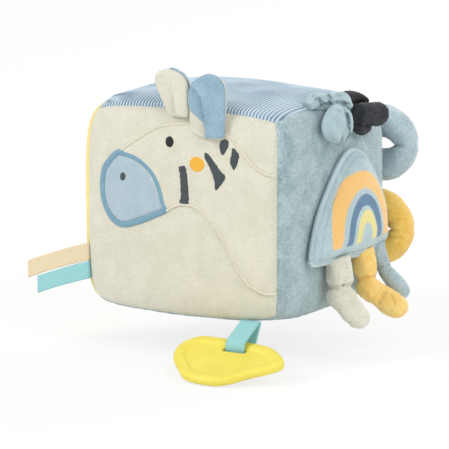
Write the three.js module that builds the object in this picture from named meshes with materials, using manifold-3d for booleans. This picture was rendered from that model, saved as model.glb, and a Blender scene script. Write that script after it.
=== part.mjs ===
// Soft fabric activity block: six stuffed panels, a zebra face on the front and toys sewn into the seams.
// Millimetres, +Z up. The origin is the middle of the flat base. The zebra looks along -Y.

import * as THREE from 'three';
import { mergeGeometries, mergeVertices } from 'three/addons/utils/BufferGeometryUtils.js';
import Module from 'manifold-3d';

const wasm = await Module();
wasm.setup();

// Driving dimensions

const clearance = 0.3; // between pieces that touch on the real block
const overrun = 4; // how far a cutting prism runs past what it cuts

const block = {
  width: 150, // seam to seam along X
  depth: 150, // seam to seam along Y
  seamBottom: 4,
  seamTop: 144.5,
  baseLevel: 0, // the stuffed bottom is pressed flat here
  frontPull: 1, // how far the sewn corners draw in at the front
  backPull: 5, // and at the back
  seamSag: 2.5, // how far the bottom seams bow down between their corners
  seamRise: 2.2, // how far the top seams bow up
  droop: 7, // how far the top sinks towards its back right corner
  cloth: 1.6,
  gridCells: 10,
};
const crown = { front: 8, back: 8, left: 11, right: 11, top: 4, bottom: 3 };

const applique = { cloth: 0.8, thread: 0.7 };
const muzzle = { x: -35.4, z: 88, halfWidth: 27.4, halfHeight: 27.4, border: 4.2 };
const nostril = { x: -43, z: 97, halfWidth: 2.2, halfHeight: 2.9, lean: 0.15 };
const eye = { x: -6, z: 124.2, halfWidth: 3.5, halfHeight: 4.1, lean: -0.2 };
const cheek = { x: 16.2, z: 110.3, halfWidth: 6.4, halfHeight: 5.5, lean: 0 };
const stripes = {
  stripe_jaw: { x: 5.4, z: 95.3, halfWidth: 4, halfHeight: 13.2 },
  stripe_neck: { x: 30.5, z: 105.9, halfWidth: 9, halfHeight: 13 },
  stripe_brow: { x: 37.4, z: 124.6, halfWidth: 4, halfHeight: 4.9 },
  stripe_mane: { x: 46.2, z: 117.6, halfWidth: 3.4, halfHeight: 6.9 },
};

const ear = { cloth: 2.1, cup: 5, gridCells: 8 };
const earRight = { x: 24.3, ahead: 7.7, below: 16.2, width: 31, height: 42, lean: 0.1, skewShare: 0.05 };
const earLeft = { x: -0.5, ahead: 3.6, below: 1.9, width: 26, height: 31.5, lean: 0.1, skewShare: -0.3 };

const tag = { width: 12.5, ribbon: 0.8, hollow: 1.2, beyond: 0.2, ahead: 0.7 };
const beigeTag = { length: 52, z: 39.8, droop: 0.28 };
const turquoiseTag = { length: 44, z: 26.6, droop: 0.29 };

const teether = {
  halfWidth: 42.5,
  back: 13.5, // from the slot to the edge beside the block
  front: 42, // from the slot to the far edge
  thickness: 6,
  rim: 6,
  recess: 1.3,
  slotWidth: 19,
  slotDepth: 4.6,
  x: 55,
  ahead: 24,
  z: -15,
  tilt: 0.31,
};
const ribbon = { width: 14.8, cloth: 0.9, ahead: 0.65, loop: 7.1, steps: 14 };

const flap = {
  top: 115.6,
  bottom: 42,
  halfWidth: 52.5,
  y: 1.8,
  slant: 0.02, // the hem's rise towards the back
  bow: 6,
  stand: 0.1,
  lining: 1.4,
  wadding: 2.4,
  cloth: 1.6,
  gridCells: 10,
};

const ring = { radius: 28, tube: 11.5, holeWidth: 21, holeHeight: 7.6, behind: 20.8 };
const ringBlue = { x: 66.5, z: 105 };
const ringYellow = { x: 64, z: 42.8 };
const ringTab = { height: 10, cloth: 1.2, outside: 0.3, behind: 0.4, length: 10.6, turn: 2.2 };

// Colours and finishes

function finish(name, color, roughness) {
  return new THREE.MeshStandardMaterial({ name, color, roughness, metalness: 0 });
}

const fabrics = {
  filling: finish('filling', 0xf4f2ec, 1),
  creamVelour: finish('cream_velour', 0xe9e5d4, 0.95),
  blueVelour: finish('blue_velour', 0xa9c0c6, 0.95),
  yellowCotton: finish('yellow_cotton', 0xf6e08a, 0.9),
  corduroy: finish('blue_corduroy', 0x8fb0c8, 0.9),
  muzzleVelour: finish('muzzle_velour', 0xb9cbd8, 0.95),
  blueThread: finish('blue_thread', 0x7fa9c2, 0.7),
  darkThread: finish('dark_thread', 0x3e474c, 0.75),
  blackThread: finish('black_thread', 0x15171a, 0.7),
  orangeThread: finish('orange_thread', 0xf5b83a, 0.7),
  bluePile: finish('blue_pile', 0x9dbdcd, 0.95),
  beigeRibbon: finish('beige_ribbon', 0xe6dabd, 0.6),
  turquoiseRibbon: finish('turquoise_ribbon', 0x8fd0d6, 0.6),
  teetherRubber: finish('teether_rubber', 0xf2e263, 0.45),
  flapVelour: finish('flap_velour', 0xb5cbd1, 0.95),
  creamPlush: finish('cream_plush', 0xdedac6, 0.95),
  yellowPlush: finish('yellow_plush', 0xf0c765, 0.95),
  bluePlush: finish('blue_plush', 0xa6bdc3, 0.95),
  jersey: finish('blue_jersey', 0xb9cfd3, 0.9),
  charcoalPlush: finish('charcoal_plush', 0x3a3b40, 0.95),
};

// Solid modelling helpers

function welded(geometry) {
  const bare = geometry.index ? geometry.toNonIndexed() : geometry.clone();
  bare.deleteAttribute('normal');
  bare.deleteAttribute('uv');
  return mergeVertices(bare, 1e-4);
}

function solidOf(geometry) {
  const merged = welded(geometry);
  const mesh = new wasm.Mesh({
    numProp: 3,
    vertProperties: new Float32Array(merged.attributes.position.array),
    triVerts: new Uint32Array(merged.index.array),
  });
  return new wasm.Manifold(mesh);
}

function geometryOf(solid) {
  const mesh = solid.getMesh();
  const geometry = new THREE.BufferGeometry();
  geometry.setAttribute('position', new THREE.BufferAttribute(new Float32Array(mesh.vertProperties), 3));
  geometry.setIndex(new THREE.BufferAttribute(new Uint32Array(mesh.triVerts), 1));
  return geometry;
}

function reshape(geometry, move) {
  const place = geometry.attributes.position;
  const point = new THREE.Vector3();
  for (let i = 0; i < place.count; i += 1) {
    point.fromBufferAttribute(place, i);
    const moved = move(point);
    place.setXYZ(i, moved.x, moved.y, moved.z);
  }
  return geometry;
}

function piece(name, geometry, material) {
  const mesh = new THREE.Mesh(geometry, material);
  mesh.name = name;
  return mesh;
}

// A closed smooth outline through points that are given as shares of a half width and a half height.
function outline(shares, halfWidth, halfHeight, x = 0, y = 0) {
  const points = shares.map(([a, b]) => new THREE.Vector2(x + a * halfWidth, y + b * halfHeight));
  const shape = new THREE.Shape();
  shape.moveTo(points[0].x, points[0].y);
  shape.splineThru([...points.slice(1), points[0]]);
  return shape;
}

function ovalOutline(spot) {
  const shape = new THREE.Shape();
  shape.absellipse(spot.x, spot.z, spot.halfWidth, spot.halfHeight, 0, Math.PI * 2, false, spot.lean);
  return shape;
}

// A tube with round ends along a curve, whose radius swells and tapers along it.
function limb(points, radii, sides = 10, steps = 9) {
  const curve = new THREE.CatmullRomCurve3(points);
  const frames = curve.computeFrenetFrames(steps, false);
  const swell = new THREE.SplineCurve(radii.map((r, i) => new THREE.Vector2(i, r)));
  const tube = new THREE.CapsuleGeometry(1, 1, 3, sides, steps);
  return reshape(welded(tube), (p) => {
    const share = THREE.MathUtils.clamp(p.y + 0.5, 0, 1);
    const radius = swell.getPoint(share).y;
    const step = Math.round(share * steps);
    const past = p.y + 0.5 - share;
    return curve
      .getPoint(share)
      .addScaledVector(frames.tangents[step], past * radius)
      .addScaledVector(frames.binormals[step], p.x * radius)
      .addScaledVector(frames.normals[step], p.z * radius);
  });
}

// A closed flat sheet, 2 by 2 by 2, whose upper and lower faces carry the same grid of triangles.
function sheetGrid(cellsAcross, cellsUp) {
  const face = new THREE.PlaneGeometry(2, 2, cellsAcross, cellsUp);
  const row = cellsAcross + 1;
  const count = row * (cellsUp + 1);
  const flat = [...face.attributes.position.array];
  const at = (level) => flat.map((value, i) => (i % 3 === 2 ? level : value));
  const rim = [];
  for (let i = 0; i < cellsUp; i += 1) rim.push(i * row);
  for (let i = 0; i < cellsAcross; i += 1) rim.push(cellsUp * row + i);
  for (let i = cellsUp; i > 0; i -= 1) rim.push(i * row + cellsAcross);
  for (let i = cellsAcross; i > 0; i -= 1) rim.push(i);
  const upper = [...face.index.array];
  const lower = upper.map((vertex) => vertex + count).reverse();
  const wall = rim.flatMap((p, i) => {
    const q = rim[(i + 1) % rim.length];
    return [p + count, q + count, q, p + count, q, p];
  });
  const sheet = new THREE.BufferGeometry();
  sheet.setAttribute('position', new THREE.Float32BufferAttribute([...at(1), ...at(-1)], 3));
  sheet.setIndex([...upper, ...lower, ...wall]);
  return sheet;
}

function ball(centre, x, y, z, turn = 0) {
  const geometry = new THREE.SphereGeometry(1, 12, 8);
  geometry.scale(x, y, z);
  geometry.rotateY(turn);
  geometry.translate(centre.x, centre.y, centre.z);
  return geometry;
}

function joined(...geometries) {
  const [first, ...rest] = geometries.map(solidOf);
  return geometryOf(rest.reduce((sum, next) => sum.add(next), first));
}

// The stuffed block

const middle = new THREE.Vector3(0, 0, (block.seamTop + block.seamBottom) / 2);
const half = new THREE.Vector3(block.width / 2, block.depth / 2, (block.seamTop - block.seamBottom) / 2);
const sides = {
  front: { out: [0, -1, 0], across: [1, 0, 0], up: [0, 0, 1] },
  back: { out: [0, 1, 0], across: [-1, 0, 0], up: [0, 0, 1] },
  left: { out: [-1, 0, 0], across: [0, -1, 0], up: [0, 0, 1] },
  right: { out: [1, 0, 0], across: [0, 1, 0], up: [0, 0, 1] },
  top: { out: [0, 0, 1], across: [1, 0, 0], up: [0, 1, 0] },
  bottom: { out: [0, 0, -1], across: [1, 0, 0], up: [0, -1, 0] },
};

// Grid lines crowd towards the seams, where the stuffed cloth turns over fastest.
const spread = (share) => Math.sin((share * Math.PI) / 2);
const shoulder = (share) => Math.sqrt(Math.max(0, 1 - share ** 4));

// How far the seams carry a point up or down: level is -1 at the bottom seams and 1 at the top ones.
function seamShift(x, y, level) {
  const bow = 1 - Math.min(Math.abs(x * y) / (half.x * half.y), 1) ** 2;
  const right = THREE.MathUtils.clamp((x / half.x + 1) / 2, 0, 1);
  const back = THREE.MathUtils.clamp((y / half.y + 1) / 2, 0, 1);
  const shift = level < 0 ? -block.seamSag * bow : block.seamRise * bow - block.droop * right * back ** 2;
  return shift * level ** 2;
}

// A point of one side: u and v run from seam to seam, depth lies inside the cloth, lift lies on it.
function skinPoint(side, u, v, depth, lift, seamGap) {
  const [out, across, up] = ['out', 'across', 'up'].map((way) => new THREE.Vector3(...sides[side][way]));
  const reach = (axis) => Math.abs(half.dot(axis)) - depth;
  const point = middle.clone().addScaledVector(out, reach(out));
  point.addScaledVector(across, (reach(across) - seamGap) * u).addScaledVector(up, (reach(up) - seamGap) * v);
  const back = (point.y / half.y + 1) / 2;
  const pull = THREE.MathUtils.lerp(block.frontPull, block.backPull, back) * Math.abs(u * v) ** 6;
  const swell = crown[side] * shoulder(u) * shoulder(v);
  point.addScaledVector(out, swell + lift - pull);
  point.addScaledVector(across, -Math.sign(u) * pull).addScaledVector(up, -Math.sign(v) * pull);
  const level = THREE.MathUtils.clamp((point.z - middle.z) / half.z, -1, 1);
  point.z += seamShift(point.x, point.y, level);
  point.z = Math.max(point.z, block.baseLevel + depth);
  return point;
}

// A layer of cloth over one whole side, from the depth of its inner face to the lift of its outer face.
function layer(side, depth, innerLift, outerLift) {
  return reshape(sheetGrid(block.gridCells, block.gridCells), (p) => {
    const outer = p.z > 0;
    const lift = outer ? outerLift : innerLift;
    return skinPoint(side, spread(p.x), spread(p.y), outer ? 0 : depth, lift, clearance);
  });
}

function fillingShape() {
  const depth = block.cloth + clearance;
  const skins = Object.keys(sides).map((side) => {
    const grid = new THREE.PlaneGeometry(2, 2, block.gridCells, block.gridCells);
    return reshape(grid, (p) => skinPoint(side, spread(p.x), spread(p.y), depth, 0, 0));
  });
  return welded(mergeGeometries(skins));
}

const panelCloth = {
  front: fabrics.creamVelour,
  back: fabrics.blueVelour,
  left: fabrics.yellowCotton,
  right: fabrics.blueVelour,
  top: fabrics.corduroy,
  bottom: fabrics.blueVelour,
};

function makeBlock() {
  const group = new THREE.Group();
  group.add(piece('filling', fillingShape(), fabrics.filling));
  for (const [side, cloth] of Object.entries(panelCloth)) {
    group.add(piece(`${side}_panel`, layer(side, block.cloth, 0, 0), cloth));
  }
  return group;
}

// The zebra face: cloth and thread that follow the crowned front

const headShares = [
  [-0.6, 0.59],
  [-0.33, 0.79],
  [-0.08, 0.89],
  [0.14, 0.91],
  [0.55, 0.82],
  [0.79, 0.56],
  [0.96, 0.47],
];
const jawShares = [
  [0.96, -0.76],
  [0.79, -0.7],
  [0.62, -0.5],
  [0.44, -0.18],
  [0.24, 0.03],
  [0.07, 0.07],
  [-0.12, -0.02],
];
const chinShares = [
  [-0.35, -0.13],
  [-0.57, -0.19],
  [-0.73, -0.11],
  [-0.82, 0.14],
  [-0.8, 0.38],
];
const muzzleShares = [
  [1, -0.48],
  [0.38, -0.8],
  [-0.27, -1],
  [-0.7, -0.8],
  [-0.96, -0.32],
  [-1, 0.23],
  [-0.8, 0.72],
  [-0.45, 1],
  [0.12, 0.89],
  [0.6, 0.54],
  [0.87, 0.03],
];
const stripeShares = {
  stripe_jaw: [[-0.95, -1], [0.95, -1], [0.97, -0.1], [0.4, 0.95], [-0.1, 1], [-1, 0.8], [-0.7, 0]],
  stripe_neck: [[0.1, -1], [1, -0.2], [0.4, 0.45], [-0.55, 1], [-0.95, 0.85], [-0.4, 0.1], [-0.05, -0.4]],
  stripe_brow: [[-1, -0.1], [-0.5, -1], [0.1, -0.95], [0.95, 0.4], [0.1, 1], [-0.7, 0.7]],
  stripe_mane: [[-1, -0.35], [-0.05, -1], [0.9, -0.4], [0.9, 0.3], [-0.35, 1], [-0.9, 0.2]],
};

// A prism through the front along Y, with its outline drawn in X and Z.
function frontPrism(shape, curveSegments) {
  const depth = crown.front + 2 * overrun;
  const prism = new THREE.ExtrudeGeometry(shape, { depth, bevelEnabled: false, curveSegments });
  prism.rotateX(Math.PI / 2);
  prism.translate(0, overrun - half.y, 0);
  return solidOf(prism);
}

function onFront(prism, lift, cloth) {
  return geometryOf(solidOf(layer('front', 0, lift, lift + cloth)).intersect(prism));
}

function splineShape(start, ...runs) {
  const shape = new THREE.Shape();
  shape.moveTo(start.x, start.y);
  for (const run of runs) shape.splineThru(run);
  return shape;
}

function makeFace() {
  const group = new THREE.Group();
  const place = ([a, b]) => new THREE.Vector2(a * half.x, middle.z + b * half.z);
  const brow = headShares.map(place);
  const jaw = jawShares.map(place);
  const chin = chinShares.map(place);
  const edge = [new THREE.Vector2().lerpVectors(brow.at(-1), jaw[0], 0.5), jaw[0]];
  const headOutline = splineShape(brow[0], brow.slice(1), edge, jaw.slice(1), chin, [brow[0]]);
  const headLift = clearance;
  const onHead = headLift + applique.cloth + clearance;
  const onMuzzle = onHead + applique.cloth + clearance;
  group.add(piece('zebra_head', onFront(frontPrism(headOutline, 2), headLift, applique.cloth), fabrics.creamVelour));

  const ringOf = (inset) => {
    const shape = outline(muzzleShares, muzzle.halfWidth - inset, muzzle.halfHeight - inset, muzzle.x, muzzle.z);
    return frontPrism(shape, 3);
  };
  const patch = onFront(ringOf(muzzle.border + clearance), onHead, applique.cloth);
  const border = onFront(ringOf(0).subtract(ringOf(muzzle.border)), onHead, applique.cloth);
  group.add(piece('muzzle_patch', patch, fabrics.muzzleVelour));
  group.add(piece('muzzle_border', border, fabrics.blueThread));
  const dot = (spot, lift) => onFront(frontPrism(ovalOutline(spot), 6), lift, applique.thread);
  group.add(piece('nostril', dot(nostril, onMuzzle), fabrics.darkThread));
  group.add(piece('eye', dot(eye, onHead), fabrics.blackThread));
  group.add(piece('cheek', dot(cheek, onHead), fabrics.orangeThread));
  for (const [name, stripe] of Object.entries(stripes)) {
    const shape = outline(stripeShares[name], stripe.halfWidth, stripe.halfHeight, stripe.x, stripe.z);
    group.add(piece(name, onFront(frontPrism(shape, 2), onHead, applique.thread), fabrics.darkThread));
  }
  return group;
}

// Ears: an outer cloth and a lining, cupped, and sewn into the front at the base

const earShares = [
  [0.62, 0],
  [0.86, 0.3],
  [1, 0.62],
  [0.86, 0.87],
  [0.36, 1],
  [-0.36, 1],
  [-0.86, 0.87],
  [-1, 0.62],
  [-0.86, 0.3],
  [-0.62, 0],
];

// open is -1 for an ear that is hollow towards the viewer of the front, and 1 for one hollow to the back.
function earLayer(size, open, nearFace, farFace) {
  const across = size.width / 2;
  const sheet = reshape(sheetGrid(ear.gridCells, ear.gridCells / 2), (p) => {
    const up = (p.y + 1) / 2;
    const bend = open * ear.cup * (1.2 - 0.7 * up) * p.x ** 2;
    const face = p.z > 0 ? farFace : nearFace;
    const z = up * (size.height + 2 * overrun) - overrun;
    return new THREE.Vector3(p.x * (across + overrun) + size.skewShare * z, face + bend, z);
  });
  const points = earShares.map(
    ([a, b]) => new THREE.Vector2(a * across + b * size.skewShare * size.height, b * size.height),
  );
  const leaf = splineShape(points[0], points.slice(1));
  const depth = 2 * (ear.cup + ear.cloth + overrun);
  const prism = new THREE.ExtrudeGeometry(leaf, { depth, bevelEnabled: false, curveSegments: 2 });
  prism.rotateX(Math.PI / 2);
  prism.translate(0, depth / 2, 0);
  return geometryOf(solidOf(sheet).intersect(solidOf(prism)));
}

function makeEar(name, size, open) {
  const group = new THREE.Group();
  const split = ear.cloth + clearance;
  const back = earLayer(size, open, 0, -ear.cloth);
  const front = earLayer(size, open, -split, -split - ear.cloth);
  const outerIsFront = open > 0;
  group.add(piece(`${name}_outer`, outerIsFront ? front : back, fabrics.creamVelour));
  group.add(piece(`${name}_lining`, outerIsFront ? back : front, fabrics.bluePile));
  const seamZ = block.seamTop + seamShift(size.x, -half.y, 1);
  group.position.set(size.x, -half.y - size.ahead, seamZ - size.below);
  group.rotation.x = -size.lean;
  return group;
}

// Ribbons: a flat band along a centre line, drawn in the plane of its edge

function bandShape(points, thickness) {
  const offset = points.map((point, i) => {
    const before = points[Math.max(i - 1, 0)];
    const after = points[Math.min(i + 1, points.length - 1)];
    const along = after.clone().sub(before).normalize();
    return new THREE.Vector2(-along.y, along.x).multiplyScalar(thickness / 2);
  });
  const left = points.map((point, i) => point.clone().add(offset[i]));
  const right = points.map((point, i) => point.clone().sub(offset[i]));
  return new THREE.Shape([...left, ...right.reverse()]);
}

function foldedTag(name, size, cloth) {
  const spacing = tag.hollow + tag.ribbon;
  const fold = new THREE.Vector2(spacing / 2 - size.length, spacing / 2);
  const turns = [1.5, 1.25, 1, 0.75, 0.5].map((share) => share * Math.PI);
  const bend = turns.map((angle) => {
    const reach = new THREE.Vector2(Math.cos(angle), Math.sin(angle)).multiplyScalar(spacing / 2);
    return fold.clone().add(reach);
  });
  const path = [new THREE.Vector2(0, 0), ...bend, new THREE.Vector2(0, spacing)];
  const options = { depth: tag.width, bevelEnabled: false };
  const geometry = new THREE.ExtrudeGeometry(bandShape(path, tag.ribbon), options);
  reshape(geometry, (p) => new THREE.Vector3(p.x, p.y, p.z - tag.width / 2 + size.droop * p.x));
  const mesh = piece(name, geometry, cloth);
  mesh.position.set(-half.x - tag.beyond, -half.y - tag.ahead - spacing - tag.ribbon / 2, size.z);
  return mesh;
}

// The teether hangs by its slot on a ribbon from the bottom front seam. Its group has the slot as origin.

const teetherShares = [
  [-0.93, 0.11],
  [-1, -0.46],
  [-0.84, -0.88],
  [-0.6, -1],
  [0.45, -0.85],
  [0.76, -0.68],
  [0.97, -0.42],
  [0.98, -0.08],
  [0.68, 0.36],
  [0.44, 0.78],
  [0.15, 1],
  [-0.22, 1],
  [-0.5, 0.85],
  [-0.68, 0.58],
];

function teetherPlate(inset, thickness, bevel) {
  const halfHeight = (teether.back + teether.front) / 2;
  const ahead = (teether.front - teether.back) / 2;
  const grow = inset + bevel;
  const shape = outline(teetherShares, teether.halfWidth - grow, grow - halfHeight, 0, -ahead);
  const geometry = new THREE.ExtrudeGeometry(shape, {
    depth: thickness - 2 * bevel,
    bevelEnabled: bevel > 0,
    bevelSize: bevel,
    bevelThickness: bevel,
    bevelSegments: 2,
    curveSegments: 2,
  });
  geometry.translate(0, 0, bevel - thickness / 2);
  return geometry;
}

function teetherShape() {
  const recess = teetherPlate(teether.rim, 2 * teether.recess, 0);
  const upper = solidOf(recess.clone().translate(0, 0, teether.thickness / 2));
  const lower = solidOf(recess.clone().translate(0, 0, -teether.thickness / 2));
  const slot = new THREE.BoxGeometry(teether.slotWidth, teether.slotDepth, teether.thickness + overrun);
  const plate = solidOf(teetherPlate(0, teether.thickness, teether.thickness / 4));
  return geometryOf(plate.subtract(upper).subtract(lower).subtract(solidOf(slot)));
}

// The way from the seam, through the slot, round the bar of the teether and back up to the seam.
function ribbonShape() {
  const bar = new THREE.Vector2(teether.back / 2 + teether.slotDepth / 4, 0);
  const seamZ = block.seamBottom + seamShift(teether.x, -half.y, -1);
  const seam = new THREE.Vector2(teether.ahead - ribbon.ahead, seamZ - teether.z);
  seam.rotateAround(new THREE.Vector2(), -teether.tilt);
  const reach = seam.clone().sub(bar);
  const leave = Math.acos(ribbon.loop / reach.length());
  const loop = Array.from({ length: ribbon.steps + 1 }, (_, i) => {
    const turn = leave + (i / ribbon.steps) * 2 * (Math.PI - leave);
    return reach.clone().setLength(ribbon.loop).rotateAround(new THREE.Vector2(), turn).add(bar);
  });
  const apart = reach.clone().rotateAround(new THREE.Vector2(), Math.PI / 2).setLength(ribbon.cloth * 0.6);
  const path = [seam.clone().add(apart), ...loop, seam.clone().sub(apart)];
  const options = { depth: ribbon.width, bevelEnabled: false };
  const geometry = new THREE.ExtrudeGeometry(bandShape(path, ribbon.cloth), options);
  return reshape(geometry, (p) => new THREE.Vector3(p.z - ribbon.width / 2, p.x, p.y));
}

function makeTeether() {
  const group = new THREE.Group();
  group.add(piece('teether', teetherShape(), fabrics.teetherRubber));
  group.add(piece('teether_ribbon', ribbonShape(), fabrics.turquoiseRibbon));
  group.position.set(teether.x, -half.y - teether.ahead, teether.z);
  group.rotation.x = teether.tilt;
  return group;
}

// The rainbow flap: outer cloth, wadding and lining, bowed out between its bottom corners

const flapSeat = half.x + crown.right + flap.stand;

// Half of the outline, from the hem up: shares of the half width and of the height.
const flapShares = [
  [0, 0],
  [0.5, -0.005],
  [0.9, 0],
  [1, 0.06],
  [0.985, 0.2],
  [0.935, 0.35],
  [0.86, 0.48],
  [0.75, 0.6],
  [0.6, 0.73],
  [0.43, 0.85],
  [0.28, 0.93],
  [0.15, 0.98],
];

function flapOutline() {
  const height = flap.top - flap.bottom;
  const mirrored = flapShares.slice(1).map(([a, b]) => [-a, b]);
  const shares = [...flapShares, [0, 1], ...mirrored.reverse()];
  const points = shares.map(([a, b]) => {
    const y = a * flap.halfWidth;
    return new THREE.Vector2(flap.y + y, flap.bottom + b * height + flap.slant * y);
  });
  return splineShape(points[0], [...points.slice(1), points[0]]);
}

function flapLayer(inner, outer) {
  const height = flap.top - flap.bottom;
  const sheet = reshape(sheetGrid(flap.gridCells, flap.gridCells / 2), (p) => {
    const y = p.x * (flap.halfWidth + overrun);
    const z = (flap.top + flap.bottom) / 2 + p.y * (height / 2 + overrun);
    const down = (flap.top - z) / height;
    const bow = flap.bow * down * (1 - (y / flap.halfWidth) ** 2);
    return new THREE.Vector3(flapSeat + bow + (p.z > 0 ? outer : inner), flap.y + y, z);
  });
  const depth = flap.bow + outer + 3 * overrun;
  const options = { depth, bevelEnabled: false, curveSegments: 5 };
  const prism = new THREE.ExtrudeGeometry(flapOutline(), options);
  reshape(prism, (p) => new THREE.Vector3(flapSeat - 2 * overrun + p.z, p.x, p.y));
  return geometryOf(solidOf(sheet).intersect(solidOf(prism)));
}

function makeFlap() {
  const group = new THREE.Group();
  const wadding = flap.lining + clearance;
  const front = wadding + flap.wadding + clearance;
  group.add(piece('flap_lining', flapLayer(0, flap.lining), fabrics.flapVelour));
  group.add(piece('flap_wadding', flapLayer(wadding, wadding + flap.wadding), fabrics.filling));
  group.add(piece('flap_front', flapLayer(front, front + flap.cloth), fabrics.flapVelour));
  return group;
}

// Knotted plush legs that hang from the lower hem of the flap

const legs = {
  leg_cream: {
    cloth: fabrics.creamPlush,
    out: 9.5,
    hang: 5.6,
    y: -25,
    swing: 13,
    across: 5,
    down: 34,
    radius: 8.4,
    knotRadius: 11.5,
    knotHeight: 8,
    routeShares: [[0, 0, 0], [0.02, 0, 0.2], [0.02, 0.1, 0.36], [0.1, 0.2, 0.58], [0.55, 0.6, 0.82], [1, 1, 1]],
    swellShares: [0.56, 1.02, 0.76, 1, 1, 1.08],
  },
  leg_yellow: {
    cloth: fabrics.yellowPlush,
    out: 9.7,
    hang: 5.6,
    y: 13,
    swing: 22,
    across: 10,
    down: 35,
    radius: 8.4,
    knotRadius: 11.5,
    knotHeight: 8,
    routeShares: [[0, 0, 0], [0.02, 0.05, 0.2], [0.02, 0.1, 0.34], [0.1, 0.25, 0.66], [0.6, 0.6, 0.86], [1, 1, 1]],
    swellShares: [0.56, 1.02, 0.76, 1, 0.98, 1.15],
  },
  leg_blue: {
    cloth: fabrics.bluePlush,
    out: 8,
    hang: 4.2,
    y: 36.5,
    swing: 17,
    across: 4,
    down: 31,
    radius: 5.5,
    knotRadius: 5.9,
    knotHeight: 5,
    routeShares: [[0, 0, 0], [0.03, 0, 0.25], [0.08, 0, 0.44], [0.4, 0.3, 0.7], [0.75, 0.7, 0.88], [1, 1, 1]],
    swellShares: [0.6, 0.98, 0.82, 0.96, 1, 1.05],
  },
};

function makeLeg(name, leg) {
  const top = flap.bottom + flap.slant * (leg.y - flap.y) - leg.hang;
  const route = leg.routeShares.map(
    ([a, b, c]) => new THREE.Vector3(flapSeat + leg.out + a * leg.swing, leg.y + b * leg.across, top - c * leg.down),
  );
  const tube = limb(route, leg.swellShares.map((share) => share * leg.radius));
  const knot = ball(route[3], leg.knotRadius, leg.knotRadius, leg.knotHeight, Math.PI / 8);
  return piece(name, joined(tube, knot), leg.cloth);
}

// Knotted strips at the top right seam, drawn from the seam outwards

const jersey = { beyond: 1.2, above: 0.9, y: 0, out: 16, across: 24, down: 26, radius: 10 };
const charcoal = { beyond: 1.2, above: 0.9, y: 28, out: 16, across: 18, down: 20, radius: 10 };

const along = (strip, [out, across, down]) =>
  new THREE.Vector3(
    half.x + strip.beyond + out * strip.out,
    strip.y + across * strip.across,
    block.seamTop + seamShift(half.x, strip.y, 1) + strip.above - down * strip.down,
  );

function knottedStrip(name, strip, cloth, lobes) {
  const solids = lobes.map((lobe) => {
    const route = lobe.routeShares.map((shares) => along(strip, shares));
    const radii = lobe.swellShares.map((share) => share * strip.radius);
    return limb(route, radii, lobe.sides ?? 10, lobe.steps ?? 6);
  });
  return piece(name, joined(...solids), cloth);
}

const jerseyLobes = [
  {
    routeShares: [[0, 0, 0], [0.24, -0.04, -0.04], [0.46, -0.12, -0.04]],
    swellShares: [0.09, 0.3, 0.5],
    sides: 8, steps: 3,
  },
  { routeShares: [[0.42, -0.54, -0.14], [0.55, -0.21, -0.1], [0.61, 0.05, 0.05]], swellShares: [0.5, 0.63, 0.5] },
  { routeShares: [[0.36, -0.54, -0.14], [0.11, -0.83, -0.22], [0.02, -1.17, -0.2]], swellShares: [0.46, 0.54, 0.48] },
  {
    routeShares: [[0.74, -0.54, 0.03], [0.96, -1.04, 0.28], [0.99, -1.08, 0.57], [0.92, -0.71, 0.9]],
    swellShares: [0.6, 0.88, 0.86, 0.32],
    steps: 8,
  },
  {
    routeShares: [[0.74, -0.21, 0.07], [0.96, -0.29, 0.42], [0.96, -0.42, 0.77]],
    swellShares: [0.5, 0.64, 0.4],
    steps: 5,
  },
];
const charcoalLobes = [
  {
    routeShares: [[0, 0, 0], [0.24, -0.06, 0], [0.49, -0.17, 0.03]],
    swellShares: [0.09, 0.3, 0.5],
    sides: 8, steps: 3,
  },
  { routeShares: [[0.11, -0.86, -0.2], [0.21, -0.28, -0.18], [0.42, 0.28, -0.03]], swellShares: [0.38, 0.45, 0.46] },
  { routeShares: [[0.8, -0.64, 0.3], [1.02, -0.28, 0.38], [1.11, 0.28, 0.42]], swellShares: [0.73, 0.88, 0.9] },
  { routeShares: [[0.61, -0.61, 0.15], [0.67, -0.33, 0.15]], swellShares: [0.6, 0.6], steps: 3 },
  {
    routeShares: [[0.86, -0.78, 0.62], [0.86, -0.44, 0.88], [0.92, -0.11, 0.82]],
    swellShares: [0.52, 0.54, 0.5],
    steps: 5,
  },
];

// Plush rings behind the back right seam, each on a short tab

function ringShape() {
  const round = new THREE.TorusGeometry(1, 0.5, 10, 20).rotateX(Math.PI / 2);
  return reshape(welded(round), (p) => {
    const reach = Math.hypot(p.x, p.z);
    const hole = Math.hypot((ring.holeWidth / 2) * (p.x / reach), (ring.holeHeight / 2) * (p.z / reach));
    const tube = (ring.radius - hole) / 2;
    const away = ring.radius - tube + 2 * (reach - 1) * tube;
    return new THREE.Vector3((away * p.x) / reach, 2 * p.y * ring.tube, (away * p.z) / reach);
  });
}

function makeRing(name, tabName, spot, cloth) {
  const group = new THREE.Group();
  const loop = piece(name, ringShape(), cloth);
  loop.position.set(spot.x, half.y + ring.behind, spot.z);
  const strip = new THREE.BoxGeometry(ringTab.length, ringTab.cloth, ringTab.height);
  strip.translate(ringTab.length / 2, 0, 0);
  const tab = piece(tabName, strip, fabrics.blueVelour);
  tab.position.set(half.x + ringTab.outside, half.y + ringTab.behind, spot.z + ring.radius - ring.tube);
  tab.rotation.z = ringTab.turn;
  group.add(loop, tab);
  return group;
}

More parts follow.
